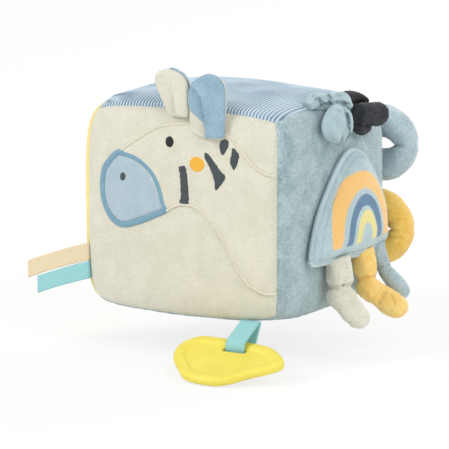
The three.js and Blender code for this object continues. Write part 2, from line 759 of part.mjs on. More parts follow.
const softBlock = new THREE.Group();
softBlock.name = 'soft_fabric_block';
softBlock.add(
  makeBlock(),
  makeFace(),
  makeEar('right_ear', earRight, -1),
  makeEar('left_ear', earLeft, 1),
  foldedTag('beige_tag', beigeTag, fabrics.beigeRibbon),
  foldedTag('turquoise_tag', turquoiseTag, fabrics.turquoiseRibbon),
  makeTeether(),
  makeFlap(),
  ...Object.entries(legs).map(([name, leg]) => makeLeg(name, leg)),
  knottedStrip('jersey_knot', jersey, fabrics.jersey, jerseyLobes),
  knottedStrip('charcoal_knot', charcoal, fabrics.charcoalPlush, charcoalLobes),
  makeRing('blue_ring', 'blue_ring_tab', ringBlue, fabrics.bluePlush),
  makeRing('yellow_ring', 'yellow_ring_tab', ringYellow, fabrics.yellowPlush),
);

export default softBlock;
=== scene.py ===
import math

import bmesh
import bpy
from mathutils import Matrix, Quaternion, Vector, noise


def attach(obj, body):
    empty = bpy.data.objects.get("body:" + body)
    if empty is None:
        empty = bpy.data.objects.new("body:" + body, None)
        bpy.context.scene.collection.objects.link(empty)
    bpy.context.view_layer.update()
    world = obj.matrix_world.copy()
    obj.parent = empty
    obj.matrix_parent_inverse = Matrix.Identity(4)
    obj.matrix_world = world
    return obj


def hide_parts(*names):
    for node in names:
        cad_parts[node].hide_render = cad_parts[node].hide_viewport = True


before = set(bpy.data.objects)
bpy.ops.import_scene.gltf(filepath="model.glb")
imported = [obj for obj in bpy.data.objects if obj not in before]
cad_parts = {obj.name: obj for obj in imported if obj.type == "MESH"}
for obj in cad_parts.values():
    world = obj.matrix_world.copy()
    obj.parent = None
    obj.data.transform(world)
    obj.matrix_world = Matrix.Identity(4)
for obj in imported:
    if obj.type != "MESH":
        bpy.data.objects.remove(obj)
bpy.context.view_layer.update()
mm = 0.001

# Camera, floor and light come first, so the framing is settled before any cloth is made.
view = {"azimuth": 30, "elevation": 10.4, "distance": 2400, "aim": (-5.75, -7.73, 54.18), "lens": 269.9}
studio = {
    "floorLevel": -31.2,
    "floorSize": 9000,
    "world": 0.5,
    "key": {"place": (-1500, -2300, 2300), "size": 1500, "watts": 50},
    "fill": {"place": (2300, -1100, 2000), "size": 1800, "watts": 32},
    "back": {"place": (300, 2600, 2000), "size": 1600, "watts": 40},
}


def linear(hexColour):  # sRGB hex to the linear values that a shader takes
    parts = [int(hexColour[i : i + 2], 16) / 255 for i in (1, 3, 5)]
    return (*[c / 12.92 if c <= 0.04045 else ((c + 0.055) / 1.055) ** 2.4 for c in parts], 1)


def addNode(material, kind, inputs=None, **settings):
    made = material.node_tree.nodes.new("ShaderNode" + kind)
    for key, value in settings.items():
        setattr(made, key, value)
    for key, value in (inputs or {}).items():
        if isinstance(value, bpy.types.NodeSocket):
            material.node_tree.links.new(value, made.inputs[key])
        else:
            made.inputs[key].default_value = value
    return made


def blankMaterial(name):
    material = bpy.data.materials.new(name)
    material.use_nodes = True
    material.node_tree.nodes.clear()
    return material


def lookFrom(place, aim):
    return (Vector(aim) - Vector(place)).to_track_quat("-Z", "Y")


def setUpStudio():
    scene = bpy.context.scene
    scene.view_settings.view_transform = "Standard"
    turn, rise = math.radians(view["azimuth"]), math.radians(view["elevation"])
    back = Vector((math.sin(turn) * math.cos(rise), -math.cos(turn) * math.cos(rise), math.sin(rise)))
    aim = Vector(view["aim"]) * mm
    eye = bpy.data.objects.new("camera", bpy.data.cameras.new("camera"))
    eye.data.lens = view["lens"]
    eye.data.sensor_width = 36
    eye.data.clip_end = 20
    eye.location = aim + back * view["distance"] * mm
    eye.rotation_mode = "QUATERNION"
    eye.rotation_quaternion = lookFrom(eye.location, aim)
    scene.collection.objects.link(eye)
    scene.camera = eye

    for name in ("key", "fill", "back"):
        lamp = bpy.data.lights.new(name, "AREA")
        lamp.shape = "DISK"
        lamp.size = studio[name]["size"] * mm
        lamp.energy = studio[name]["watts"]
        holder = bpy.data.objects.new(name, lamp)
        holder.location = Vector(studio[name]["place"]) * mm
        holder.rotation_mode = "QUATERNION"
        holder.rotation_quaternion = lookFrom(holder.location, aim)
        scene.collection.objects.link(holder)

    world = scene.world or bpy.data.worlds.new("studio")
    scene.world = world
    world.use_nodes = True
    world.node_tree.nodes.clear()
    rays = addNode(world, "LightPath")
    seen = addNode(world, "Math", {0: rays.outputs["Is Camera Ray"], 1: rays.outputs["Is Glossy Ray"]}, operation="MAXIMUM")
    seen = addNode(world, "Math", {0: seen.outputs[0], 1: rays.outputs["Is Transmission Ray"]}, operation="MAXIMUM")
    dim = addNode(world, "Background", {"Color": (1, 1, 1, 1), "Strength": studio["world"]})
    white = addNode(world, "Background", {"Color": (1, 1, 1, 1), "Strength": 1})
    both = addNode(world, "MixShader", {0: seen.outputs[0], 1: dim.outputs[0], 2: white.outputs[0]})
    addNode(world, "OutputWorld", {"Surface": both.outputs[0]})

    paper = blankMaterial("paperFloor")  # a plain pale sheet of studio paper
    diffuse = addNode(paper, "BsdfDiffuse", {"Color": linear("#F8F8F6")})
    glow = addNode(paper, "Emission", {"Color": (1, 1, 1, 1), "Strength": 1})
    rays = addNode(paper, "LightPath")
    share = addNode(paper, "Math", {0: rays.outputs["Is Camera Ray"], 1: 0.8}, operation="MULTIPLY")
    mix = addNode(paper, "MixShader", {0: share.outputs[0], 1: diffuse.outputs[0], 2: glow.outputs[0]})
    addNode(paper, "OutputMaterial", {"Surface": mix.outputs[0]})
    bm = bmesh.new()
    bmesh.ops.create_grid(bm, x_segments=1, y_segments=1, size=studio["floorSize"] * mm / 2)
    bmesh.ops.translate(bm, verts=bm.verts, vec=(0, 0, studio["floorLevel"] * mm))
    mesh = bpy.data.meshes.new("floor")
    bm.to_mesh(mesh)
    bm.free()
    mesh.materials.append(paper)
    floor = bpy.data.objects.new("floor", mesh)
    scene.collection.objects.link(floor)


setUpStudio()
print("studio ready")


# Cloth finishes. Every colour is read from cloth of this kind in plain daylight, except the painted highlight, painted
# shade and painted light noted at each cloth below.


def pileCloth(name, light, deep, tuft=1.3, nap=11, relief=0.5, sheen=0.35, rough=0.9, napShare=0.35, groove=None):
    # velour, plush and terry: short upright pile, which goes matt, mottled and pale at grazing angles
    cloth = blankMaterial(name)
    place = addNode(cloth, "TexCoord").outputs["Object"]
    fine = addNode(cloth, "TexNoise", {"Vector": place, "Scale": 1 / (tuft * mm), "Detail": 3.0, "Roughness": 0.65})
    wide = addNode(cloth, "TexNoise", {"Vector": place, "Scale": 1 / (nap * mm), "Detail": 2.0, "Roughness": 0.5})
    tufts = addNode(cloth, "MapRange", {"Value": fine.outputs[0], "From Min": 0.34, "From Max": 0.64})
    patches = addNode(cloth, "MapRange", {"Value": wide.outputs[0], "From Min": 0.35, "From Max": 0.65})
    blend = addNode(cloth, "Mix", {0: napShare, 2: tufts.outputs[0], 3: patches.outputs[0]})
    height = blend.outputs[0]
    # corduroy: the wale height darkens the colour in the grooves and lightens it on the ridges, painted shade and
    # painted highlight over the shallow wales
    if groove:  # corduroy: the wale height that the mesh carries
        rib = addNode(cloth, "Attribute", attribute_name=groove).outputs["Fac"]
        height = addNode(cloth, "Mix", {0: 0.88, 2: height, 3: rib}).outputs[0]
    colour = addNode(cloth, "Mix", {0: height, 6: linear(deep), 7: linear(light)}, data_type="RGBA")
    bump = addNode(cloth, "Bump", {"Height": fine.outputs[0], "Strength": 0.75, "Distance": relief * mm})
    shader = addNode(
        cloth,
        "BsdfPrincipled",
        {
            "Base Color": colour.outputs[2],
            "Roughness": rough,
            "Specular IOR Level": 0.12,
            "Sheen Weight": sheen,
            "Sheen Roughness": 0.6,
            "Normal": bump.outputs[0],
        },
    )
    addNode(cloth, "OutputMaterial", {"Surface": shader.outputs[0]})
    return cloth


def threadCloth(name, light, deep, pitch=0.7, sheen=0.2, rough=0.55, relief=0.25):
    # satin stitch and grosgrain: close parallel threads that catch the light along their ridges; the colour is painted
    # lighter on each ridge and darker between threads, painted highlight and painted shade, over random tone from the
    # wobble
    cloth = blankMaterial(name)
    uv = addNode(cloth, "UVMap", uv_map="cloth").outputs[0]
    place = addNode(cloth, "TexCoord").outputs["Object"]
    cut = addNode(cloth, "SeparateXYZ", {0: uv}).outputs[0]
    wobble = addNode(cloth, "TexNoise", {"Vector": place, "Scale": 1 / (2.2 * mm), "Detail": 2.0})
    drift = addNode(cloth, "Math", {0: wobble.outputs[0], 1: 0.5 * pitch, 2: cut}, operation="MULTIPLY_ADD")
    turn = addNode(cloth, "Math", {0: drift.outputs[0], 1: 2 * math.pi / pitch}, operation="MULTIPLY")
    wave = addNode(cloth, "Math", {0: turn.outputs[0]}, operation="SINE")
    ridge = addNode(cloth, "MapRange", {"Value": wave.outputs[0], "From Min": -1, "From Max": 1})
    mixed = addNode(cloth, "Mix", {0: 0.35, 2: ridge.outputs[0], 3: wobble.outputs[0]})
    # painted highlight on the thread ridges and painted shade between them, mixed with random tone
    colour = addNode(cloth, "Mix", {0: mixed.outputs[0], 6: linear(deep), 7: linear(light)}, data_type="RGBA")
    bump = addNode(cloth, "Bump", {"Height": ridge.outputs[0], "Strength": 0.6, "Distance": relief * mm})
    shader = addNode(
        cloth,
        "BsdfPrincipled",
        {
            "Base Color": colour.outputs[2],
            "Roughness": rough,
            "Specular IOR Level": 0.3,
            "Sheen Weight": sheen,
            "Normal": bump.outputs[0],
        },
    )
    addNode(cloth, "OutputMaterial", {"Surface": shader.outputs[0]})
    return cloth


cloths = {
    "creamVelour": pileCloth("creamVelour", "#E2DFD0", "#D0CDBA"),
    "blueVelour": pileCloth("blueVelour", "#BFD3D7", "#829CA3", tuft=1.5, relief=1.2),
    "yellowCotton": pileCloth("yellowCottonJersey", "#F9E6A0", "#F1D98B", tuft=0.8, relief=0.2, sheen=0.15),
    # corduroy: the deep colour is the painted shade in the grooves between the wales
    "corduroy": pileCloth("blueCorduroy", "#CFE1EB", "#2C5077", tuft=0.9, relief=0.3, sheen=0.1, groove="wale"),
    "muzzleVelour": pileCloth("paleBlueVelour", "#B4C6D2", "#A0B6C4", tuft=1.0),
    "bluePile": pileCloth("blueEarPlush", "#A2BFCF", "#7C9DB2", tuft=1.2, relief=0.6),
    # the blue ear pile painted lighter for the left ear's lining, which lies in shade behind the ear: painted light
    "litBluePile": pileCloth("litBlueEarPlush", "#D8E9F1", "#B6D0DF", tuft=1.2, relief=0.6),
    "flapVelour": pileCloth("flapVelour", "#D0E1E5", "#B2CAD1", tuft=1.4, relief=0.6),
    "creamPlush": pileCloth("creamPlush", "#EEEBDC", "#D3CFBC", tuft=1.6, relief=0.9),
    "yellowPlush": pileCloth("yellowPlush", "#FFE491", "#FCC662", tuft=1.6, relief=0.9),
    "bluePlush": pileCloth("bluePlush", "#C4D6DC", "#98AFB8", tuft=1.6, relief=0.9),
    "ringYellow": pileCloth("yellowRingPlush", "#FFDB74", "#F3B744", tuft=1.7, relief=1.0),
    "jersey": pileCloth("blueJersey", "#BBD0D5", "#9BB4BA", tuft=0.7, nap=7, relief=0.15, sheen=0.2),
    "charcoalPlush": pileCloth("charcoalPlush", "#3F4147", "#0A0B0D", tuft=1.3, relief=1.4, sheen=0.15),
    # for the stitches and ribbons below, each pair is the thread colour painted lighter on the ridges and darker
    # between threads: painted highlight and painted shade
    "blueThread": threadCloth("blueSatinStitch", "#90B5C7", "#5F8CA6", pitch=0.9),
    # the overcast thread is a pale blue of its own, painted lighter still to lift the shade along the flap's side:
    # partly real colour, partly painted light
    "rimThread": threadCloth("blueOvercastStitch", "#DCEBF0", "#B4D0DB", pitch=0.8),
    "creamThread": threadCloth("creamSatinStitch", "#E8E4D2", "#CFCAB5", pitch=0.8),
    "amberThread": threadCloth("amberSatinStitch", "#F6B63A", "#D8931C", pitch=0.8),
    "darkThread": threadCloth("charcoalSatinStitch", "#4B555A", "#333B40", pitch=0.9),
    "blackThread": threadCloth("blackSatinStitch", "#1D2023", "#0C0E10", pitch=0.8),
    "orangeThread": threadCloth("orangeSatinStitch", "#FAC24C", "#EDA928", pitch=0.8),
    "beigeRibbon": threadCloth("beigeGrosgrain", "#F1DFBE", "#E2CDA6", pitch=1.1),
    "turquoiseRibbon": threadCloth("turquoiseGrosgrain", "#A9DDDF", "#84C6CA", pitch=1.1),
}


# Making and dressing meshes


def makePiece(name, bm, cloth, smooth=True):
    mesh = bpy.data.meshes.new(name)
    bm.to_mesh(mesh)
    bm.free()
    if smooth:
        mesh.shade_smooth()
    mesh.materials.append(cloths[cloth] if isinstance(cloth, str) else cloth)
    piece = bpy.data.objects.new(name, mesh)
    bpy.context.scene.collection.objects.link(piece)
    return piece


def dress(piece, body, slot, *nodes):
    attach(piece, body)
    if nodes:
        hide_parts(*nodes)
    return piece


def addModifier(piece, kind, **settings):
    modifier = piece.modifiers.new(kind.lower(), kind)
    for key, value in settings.items():
        setattr(modifier, key, value)
    return modifier


def settle(piece):  # bakes the modifiers into the mesh
    graph = bpy.context.evaluated_depsgraph_get()
    mesh = bpy.data.meshes.new_from_object(piece.evaluated_get(graph))
    old = piece.data
    piece.modifiers.clear()
    piece.data = mesh
    bpy.data.meshes.remove(old)
    return piece


def closeSheet(piece, thickness):
    addModifier(piece, "SOLIDIFY", thickness=thickness * mm, offset=-1, use_quality_normals=True)


def smoothPath(points, steps):
    points = [Vector(p) for p in points]
    ends = [2 * points[0] - points[1], *points, 2 * points[-1] - points[-2]]
    path = []
    for i in range(1, len(ends) - 2):
        a, b, c, d = ends[i - 1 : i + 3]
        for k in range(steps):
            t = k / steps
            path.append(0.5 * ((2 * b) + (c - a) * t + (2 * a - 5 * b + 4 * c - d) * t**2 + (3 * b - a - 3 * c + d) * t**3))
    path.append(points[-1])
    return path


def closedPath(points, steps):
    count = len(points)
    ringed = [Vector(points[i % count]) for i in range(-1, count + 2)]
    path = []
    for i in range(1, count + 1):
        a, b, c, d = ringed[i - 1 : i + 3]
        for k in range(steps):
            t = k / steps
            path.append(0.5 * ((2 * b) + (c - a) * t + (2 * a - 5 * b + 4 * c - d) * t**2 + (3 * b - a - 3 * c + d) * t**3))
    return path


def onFlat(points):
    return [Vector((p[0], p[1], 0)) for p in points]


def lineSide(point, line):
    best, sign, along = 1e9, 1.0, 0.0
    for i, (a, b) in enumerate(zip(line, line[1:])):
        run = b - a
        raw = (point - a).dot(run) / run.length_squared
        t = max(0.0, min(1.0, raw))
        gap = (point - a - run * t).length
        if gap < best:
            best, along = gap, (i + t) / (len(line) - 1)
            sign = 1.0 if run.cross(point - a).z > 0 else -1.0
    return best, sign, along


def addRoll(bm, route, radii, steps=8, sides=28, folds=0, foldDepth=0.0, twist=0.0, flat=1.0, seed=0):
    # a stuffed or rolled strip along a smooth route, with folds that run along it
    path = smoothPath([Vector(p) * mm for p in route], steps)
    sizes = smoothPath([Vector((r * mm, 0, 0)) for r in radii], steps)
    previous, turn, before = None, Quaternion(), None
    for i, centre in enumerate(path):
        ahead = path[min(i + 1, len(path) - 1)] - path[max(i - 1, 0)]
        ahead.normalize()
        turn = ahead.to_track_quat("Z", "X") if before is None else before.rotation_difference(ahead) @ turn
        before = ahead
        share = i / (len(path) - 1)
        ring = bmesh.ops.create_circle(bm, segments=sides, radius=max(sizes[i].x, 0.2 * mm))["verts"]
        for k, vert in enumerate(ring):
            angle = 2 * math.pi * k / sides
            wave = math.sin(folds * angle + twist * share * 2 * math.pi + seed)
            vert.co *= 1 + foldDepth * wave
            vert.co.y *= flat
            vert.co = turn @ vert.co + centre
        edges = list({edge for vert in ring for edge in vert.link_edges})
        if previous:
            bmesh.ops.bridge_loops(bm, edges=previous + edges)
        else:
            bmesh.ops.edgeloop_fill(bm, edges=edges)
        previous = edges
    bmesh.ops.edgeloop_fill(bm, edges=previous)


def addBall(bm, centre, radii, turn=(0, 0, 0)):
    spin = Matrix.Rotation(turn[2], 4, "Z") @ Matrix.Rotation(turn[1], 4, "Y") @ Matrix.Rotation(turn[0], 4, "X")
    scale = Matrix.Diagonal((*[r * mm for r in radii], 1))
    bmesh.ops.create_icosphere(bm, subdivisions=4, radius=1, matrix=Matrix.Translation(Vector(centre) * mm) @ spin @ scale)


def creaseDepth(point, normal, creases):
    # creases lie on the side that faces the front right corner; each is a line, how deep and how wide it runs
    across, up, out = Vector((0.866, 0.5, 0)), Vector((-0.09, 0.156, 0.984)), Vector((0.492, -0.852, 0.18))
    flat = Vector((across.dot(point), up.dot(point), 0)) / mm
    depth = 0.0
    for line, deep, wide in creases:
        gap = lineSide(flat, onFlat(line))[0]
        depth += deep * math.exp(-((gap / wide) ** 2)) - 0.3 * deep * math.exp(-((gap / wide / 2.2) ** 2))
    return depth * max(0.0, normal.dot(out)) ** 0.5


def pufPiece(name, bm, cloth, voxel=0.9, soften=4, fuzz=0.2, grain=1.5, creases=()):
    # melts the rolls of one strip together, softens them, and roughs the surface up as pile does
    bmesh.ops.recalc_face_normals(bm, faces=bm.faces)
    piece = makePiece(name, bm, cloth)
    addModifier(piece, "REMESH", mode="VOXEL", voxel_size=voxel * mm)
    addModifier(piece, "SMOOTH", factor=0.5, iterations=soften)
    settle(piece)
    mesh = piece.data
    for vert in mesh.vertices:
        push = noise.noise(vert.co / (grain * mm)) * fuzz + noise.noise(vert.co / (6 * mm)) * fuzz
        push -= creaseDepth(vert.co, vert.normal, creases)
        vert.co += vert.normal * push * mm
    mesh.shade_smooth()
    return piece


# The stuffed block

block = {
    "half": (75, 75, 70.25),
    "middle": (0, 0, 74.25),
    "frontPull": 3.4,
    "backPull": 5.0,
    "sag": 2.5,
    "rise": 2.2,
    "droop": 7.0,
    "swell": 2.1,
    "corner": 5.5,
    "topSwell": 6,
    "roll": 2.6,
    "cloth": 1.3,
    "softness": 0.8,
    "pucker": 0.45,
    "cells": 150,
    "drag": [
        ([(-8, 142), (-34, 132), (-58, 118)], 1.3, 3.2),
        ([(-6, 136), (-28, 118), (-46, 100)], 1.5, 3.6),
        ([(-2, 132), (-14, 118), (-30, 96)], 1.2, 3.2),
        ([(20, 136), (26, 124), (40, 112)], 1.0, 3.4),
    ],
}
crowns = {"front": 8, "back": 8, "left": 11, "right": 11, "top": 4, "bottom": 3}
sides = {
    "front": ((0, -1, 0), (1, 0, 0), (0, 0, 1)),
    "back": ((0, 1, 0), (-1, 0, 0), (0, 0, 1)),
    "left": ((-1, 0, 0), (0, -1, 0), (0, 0, 1)),
    "right": ((1, 0, 0), (0, 1, 0), (0, 0, 1)),
    "top": ((0, 0, 1), (1, 0, 0), (0, 1, 0)),
    "bottom": ((0, 0, -1), (1, 0, 0), (0, -1, 0)),
}


def shoulder(share):
    return math.sqrt(max(0.0, 1 - share**4))


def seamShift(x, y, level):
    # how far the bowed seams carry a point up or down; level runs from -1 at the bottom to 1 at the top
    half = block["half"]
    bow = 1 - min(abs(x * y) / (half[0] * half[1]), 1) ** 2
    right, back = [max(0.0, min(1.0, (value / size + 1) / 2)) for value, size in ((x, half[0]), (y, half[1]))]
    shift = -block["sag"] * bow if level < 0 else block["rise"] * bow - block["droop"] * right * back**2
    return shift * level**2


def skin(side, u, v, lift=0.0):
    # one point of a side in millimetres, with the seams drawn in and the stuffing's soft unevenness
    out, across, up = [Vector(axis) for axis in sides[side]]
    half = Vector(block["half"])
    reach = [abs(half.dot(axis)) for axis in (out, across, up)]
    full = shoulder(u) * shoulder(v)
    place = Vector(block["middle"]) + across * reach[1] * u + up * reach[2] * v
    back = ((place + out * reach[0]).y / half.y + 1) / 2
    pull = (block["frontPull"] + (block["backPull"] - block["frontPull"]) * back) * abs(u * v) ** 6
    seed = out * 7.3
    lumps = noise.noise(place / 38 + seed) * block["softness"] * full * 2
    sink = 0.0
    if side == "top":  # fullest a third of the way back
        depth = (v + 1) / 2
        lumps += block["topSwell"] * 2.6 * math.sqrt(depth) * (1 - depth) * (1 - u * u)
    if side == "right":
        for line, deep, wide in block["drag"]:
            gap = lineSide(Vector((place.y, place.z, 0)), onFlat(line))[0]
            lumps -= deep * math.exp(-((gap / wide) ** 2))
    for share, length, run in ((u, reach[1], v * reach[2]), (v, reach[2], u * reach[1])):
        gap = length * (1 - abs(share))
        wrinkle = math.sin(run / 1.7 + 3 * noise.noise(place / 14 + seed)) * noise.noise(place / 9 - seed)
        lumps += block["pucker"] * wrinkle * math.exp(-gap / 9) * gap / (gap + 1.5) * 2
        if gap < block["roll"]:
            sink = max(sink, block["roll"] * (1 - math.sqrt(max(0.0, 1 - (1 - gap / block["roll"]) ** 2))))
    place += out * (reach[0] + crowns[side] * full + lumps + lift - pull - sink)
    place -= across * math.copysign(pull, u) + up * math.copysign(pull, v)
    level = max(-1.0, min(1.0, (place.z - block["middle"][2]) / half.z))
    place.z += seamShift(place.x, place.y, level)
    near = max(0.0, -place.x / half.x) ** 3 * max(0.0, -place.y / half.y) ** 3
    place.x -= block["swell"] * near * (1 - level**4)
    place.x += block["corner"] * near**1.6 * max(0.0, level) ** 22
    place.z = max(place.z, 0.15 - min(lift, 0))
    return place


def gridSheet(name, cells, place, cloth, size=(150, 150)):
    bm = bmesh.new()
    bm.loops.layers.uv.new("cloth")
    bmesh.ops.create_grid(bm, x_segments=cells[0], y_segments=cells[1], size=1)
    uv = bm.loops.layers.uv["cloth"]
    for face in bm.faces:
        for loop in face.loops:
            loop[uv].uv = (loop.vert.co.x * size[0] / 2, loop.vert.co.y * size[1] / 2)
    for vert in bm.verts:
        vert.co = place(vert.co.x, vert.co.y) * mm
    return makePiece(name, bm, cloth)


def spread(share):
    return math.sin(share * math.pi / 2)


corduroy = {"pitch": 2.5, "height": 0.5, "cellsPerWale": 6}


def waleHeight(x):
    return abs(math.sin(math.pi * x / corduroy["pitch"])) ** 1.2


def makePanels():
    cells = block["cells"]
    for side, cloth, slot in (
        ("front", "creamVelour", "cream_velour"),
        ("right", "blueVelour", "blue_velour"),
        ("left", "yellowCotton", "yellow_cotton"),
        ("back", "blueVelour", "blue_velour"),
        ("bottom", "blueVelour", "blue_velour"),
    ):
        panel = gridSheet(side + "Panel", (cells, cells), lambda x, y: skin(side, spread(x), spread(y)), cloth)
        closeSheet(panel, block["cloth"])
        dress(panel, "block", slot, side + "_panel")
    wide = round(2 * block["half"][0] / corduroy["pitch"]) * corduroy["cellsPerWale"]

    def topPoint(x, y):
        drift = 0.5 * noise.noise(Vector((x * 3, y * 3, 1)))
        rib = waleHeight(x * block["half"][0] + drift)
        return skin("top", x, spread(y), corduroy["height"] * rib)

    panel = gridSheet("topPanel", (wide, 60), topPoint, "corduroy")
    # the wale attribute carries the wale height to the corduroy's colour, where it paints shade into the grooves
    wale = panel.data.attributes.new("wale", "FLOAT", "POINT")
    ribs = [waleHeight(vert.co.x / mm) for vert in panel.data.vertices]
    wale.data.foreach_set("value", ribs)
    closeSheet(panel, block["cloth"])
    dress(panel, "block", "blue_corduroy", "top_panel")

    bm = bmesh.new()
    bmesh.ops.create_cube(bm, size=2)
    bmesh.ops.subdivide_edges(bm, edges=bm.edges, cuts=15, use_grid_fill=True)
    for vert in bm.verts:
        side = max(sides, key=lambda name: Vector(sides[name][0]).dot(vert.co))
        out, across, up = [Vector(axis) for axis in sides[side]]
        vert.co = (skin(side, across.dot(vert.co) * 0.94, up.dot(vert.co) * 0.94, -5)) * mm
    stuffing = makePiece("stuffing", bm, "creamPlush")
    dress(stuffing, "block", "filling", "filling")


makePanels()
print("block ready")


# The zebra on the front: cloth sewn flat on the panel, and embroidery. Outlines are x and z in millimetres.

face = {
    "headTop": [(-45.2, 116.3), (-34.9, 123.4), (-24.7, 129.9), (-16, 134.4), (-5.9, 137.1), (2.7, 138.1), (14, 138),
                (28, 135.6), (41.4, 131.6), (46.7, 127.1), (52.3, 120.8), (57.9, 115.1), (64.9, 109.6),
                (70.2, 107.3), (74.6, 106.8)],
    "headFoot": [(74.6, 22.6), (70.6, 22.2), (65.1, 23.3), (56.6, 28), (49.5, 36), (43.9, 45.4), (36.8, 57.2), (29.7, 67.8),
                 (22.6, 74.6), (14, 79.4), (5.4, 80.3), (-1.8, 78.6), (-8, 74.9)],
    "headHidden": [(-26, 78), (-42, 90), (-46, 104)],
    "muzzle": [(-47.8, 115.4), (-40.8, 114.7), (-32.1, 112.3), (-24.8, 107.9), (-19.1, 102.8), (-14.7, 96.3), (-11.9, 89),
               (-9.7, 81.6), (-8, 74.9), (-16.3, 70.3), (-25.1, 66.3), (-33.8, 62.9), (-42.7, 60.8), (-49.3, 62.1),
               (-54.4, 66), (-58.8, 72), (-61.7, 79.3), (-62.8, 86.9), (-62.7, 94.5), (-60.7, 102.3), (-57, 107.7),
               (-52.5, 112.5)],
    "cloth": 0.9,
    "border": 4.8,
    "stitchInset": 2.2,
}
embroidery = {
    "nostril": ((-43.1, 96.9), (2.3, 3.0), -0.15, "darkThread", "dark_thread"),
    "eye": ((-6, 124.2), (3.6, 4.1), 0.1, "blackThread", "black_thread"),
    "cheek": ((16.2, 110.3), (6.4, 5.6), 0, "orangeThread", "orange_thread"),
}
stripes = {
    "stripe_jaw": [(4, 108.6), (1.2, 107.1), (1.9, 100.3), (2.3, 92.8), (2.5, 86.5), (1.8, 82.1), (9.3, 82.1),
                   (9.3, 93.4), (8.3, 102.1), (6.9, 108.2)],
    "stripe_neck": [(21.7, 118.8), (22.6, 114.6), (26.9, 107.5), (30, 100.3), (31.4, 92.9), (36.8, 98.4),
                    (39.4, 103.6), (34.7, 108.1), (29.7, 113.9), (25.2, 118.5)],
    "stripe_brow": [(37.5, 129.5), (34, 127.9), (33.3, 124.2), (34.2, 120.2), (36.0, 117.9), (38, 119.5), (40, 122.6),
                    (41, 127.9)],
    "stripe_mane": [(44, 124.2), (42.6, 119.4), (41.8, 113.6), (43.4, 110.4), (45.4, 108.2), (47.8, 112.4), (49, 119.4)],
}


def onFront(x, z, lift):
    half, middle = block["half"], block["middle"][2]
    level = (z - middle) / half[2]
    for _ in range(3):
        level = (z - middle - seamShift(x, -half[1], level)) / half[2]
    return skin("front", x / half[0], level, lift)


def edgeDistance(point, outline):
    best = 1e9
    for i, a in enumerate(outline):
        b = outline[(i + 1) % len(outline)]
        run = b - a
        t = max(0.0, min(1.0, (point - a).dot(run) / max(run.length_squared, 1e-9)))
        best = min(best, (point - a - run * t).length)
    return best


def addPatch(bm, outline, step, place):
    # a filled outline cut into a fine grid; place gets x, y and the distance to the edge
    uv = bm.loops.layers.uv.get("cloth") or bm.loops.layers.uv.new("cloth")
    corners = [bm.verts.new(p) for p in outline]
    start = bm.faces.new(corners)
    start.normal_update()
    if start.normal.z < 0:
        start.normal_flip()
    geom = [start, *start.edges, *start.verts]
    low = [min(p[k] for p in outline) for k in (0, 1)]
    high = [max(p[k] for p in outline) for k in (0, 1)]
    for k in (0, 1):
        axis = Vector((1 - k, k, 0))
        for i in range(1, math.ceil((high[k] - low[k]) / step)):
            cut = bmesh.ops.bisect_plane(bm, geom=geom, plane_co=axis * (low[k] + i * step), plane_no=axis, dist=1e-5)
            geom = [item for item in cut["geom"] if item.is_valid]
    faces = [item for item in geom if isinstance(item, bmesh.types.BMFace)]
    bmesh.ops.triangulate(bm, faces=[f for f in faces if len(f.verts) > 4])
    verts = list({item for item in geom if isinstance(item, bmesh.types.BMVert)})
    for facet in {f for v in verts for f in v.link_faces}:
        for loop in facet.loops:
            loop[uv].uv = loop.vert.co.xy
    for vert in verts:
        flat = vert.co.copy()
        vert.co = place(flat.x, flat.y, edgeDistance(flat, outline)) * mm
    return verts


def rise(distance, run):  # quick and round at a sewn edge, level further in
    near = min(distance / run, 1)
    return math.sqrt(max(0.0, 1 - (1 - near) ** 2))


def frontPatch(name, outline, step, height, run, base, cloth, groove=None):
    bm = bmesh.new()

    def place(x, z, d):
        lift = base + height * rise(d, run)
        if groove:
            lift -= groove[1] * math.exp(-(((d - groove[0]) / groove[2]) ** 2))
        return onFront(x, z, lift)

    addPatch(bm, outline, step, place)
    piece = makePiece(name, bm, cloth)
    closeSheet(piece, 0.5)
    return piece


def addStitches(bm, path, pitch, length, thick):
    # a row of small thread stitches along a path of points in millimetres
    travelled, target = 0.0, 0.0
    for a, b in zip(path, path[1:]):
        run = (b - a).length
        while target <= travelled + run and run > 0:
            centre = a.lerp(b, (target - travelled) / run)
            turn = (b - a).to_track_quat("X", "Z").to_matrix().to_4x4()
            scale = Matrix.Diagonal((length / 2 * mm, thick / 2 * mm, thick / 2 * mm, 1))
            bmesh.ops.create_icosphere(bm, subdivisions=1, radius=1, matrix=Matrix.Translation(centre * mm) @ turn @ scale)
            target += pitch
        travelled += run


def insetPath(path, inset):
    moved = []
    for i, point in enumerate(path):
        run = path[min(i + 1, len(path) - 1)] - path[max(i - 1, 0)]
        moved.append(point + Vector((-run.y, run.x, 0)).normalized() * inset)
    return moved


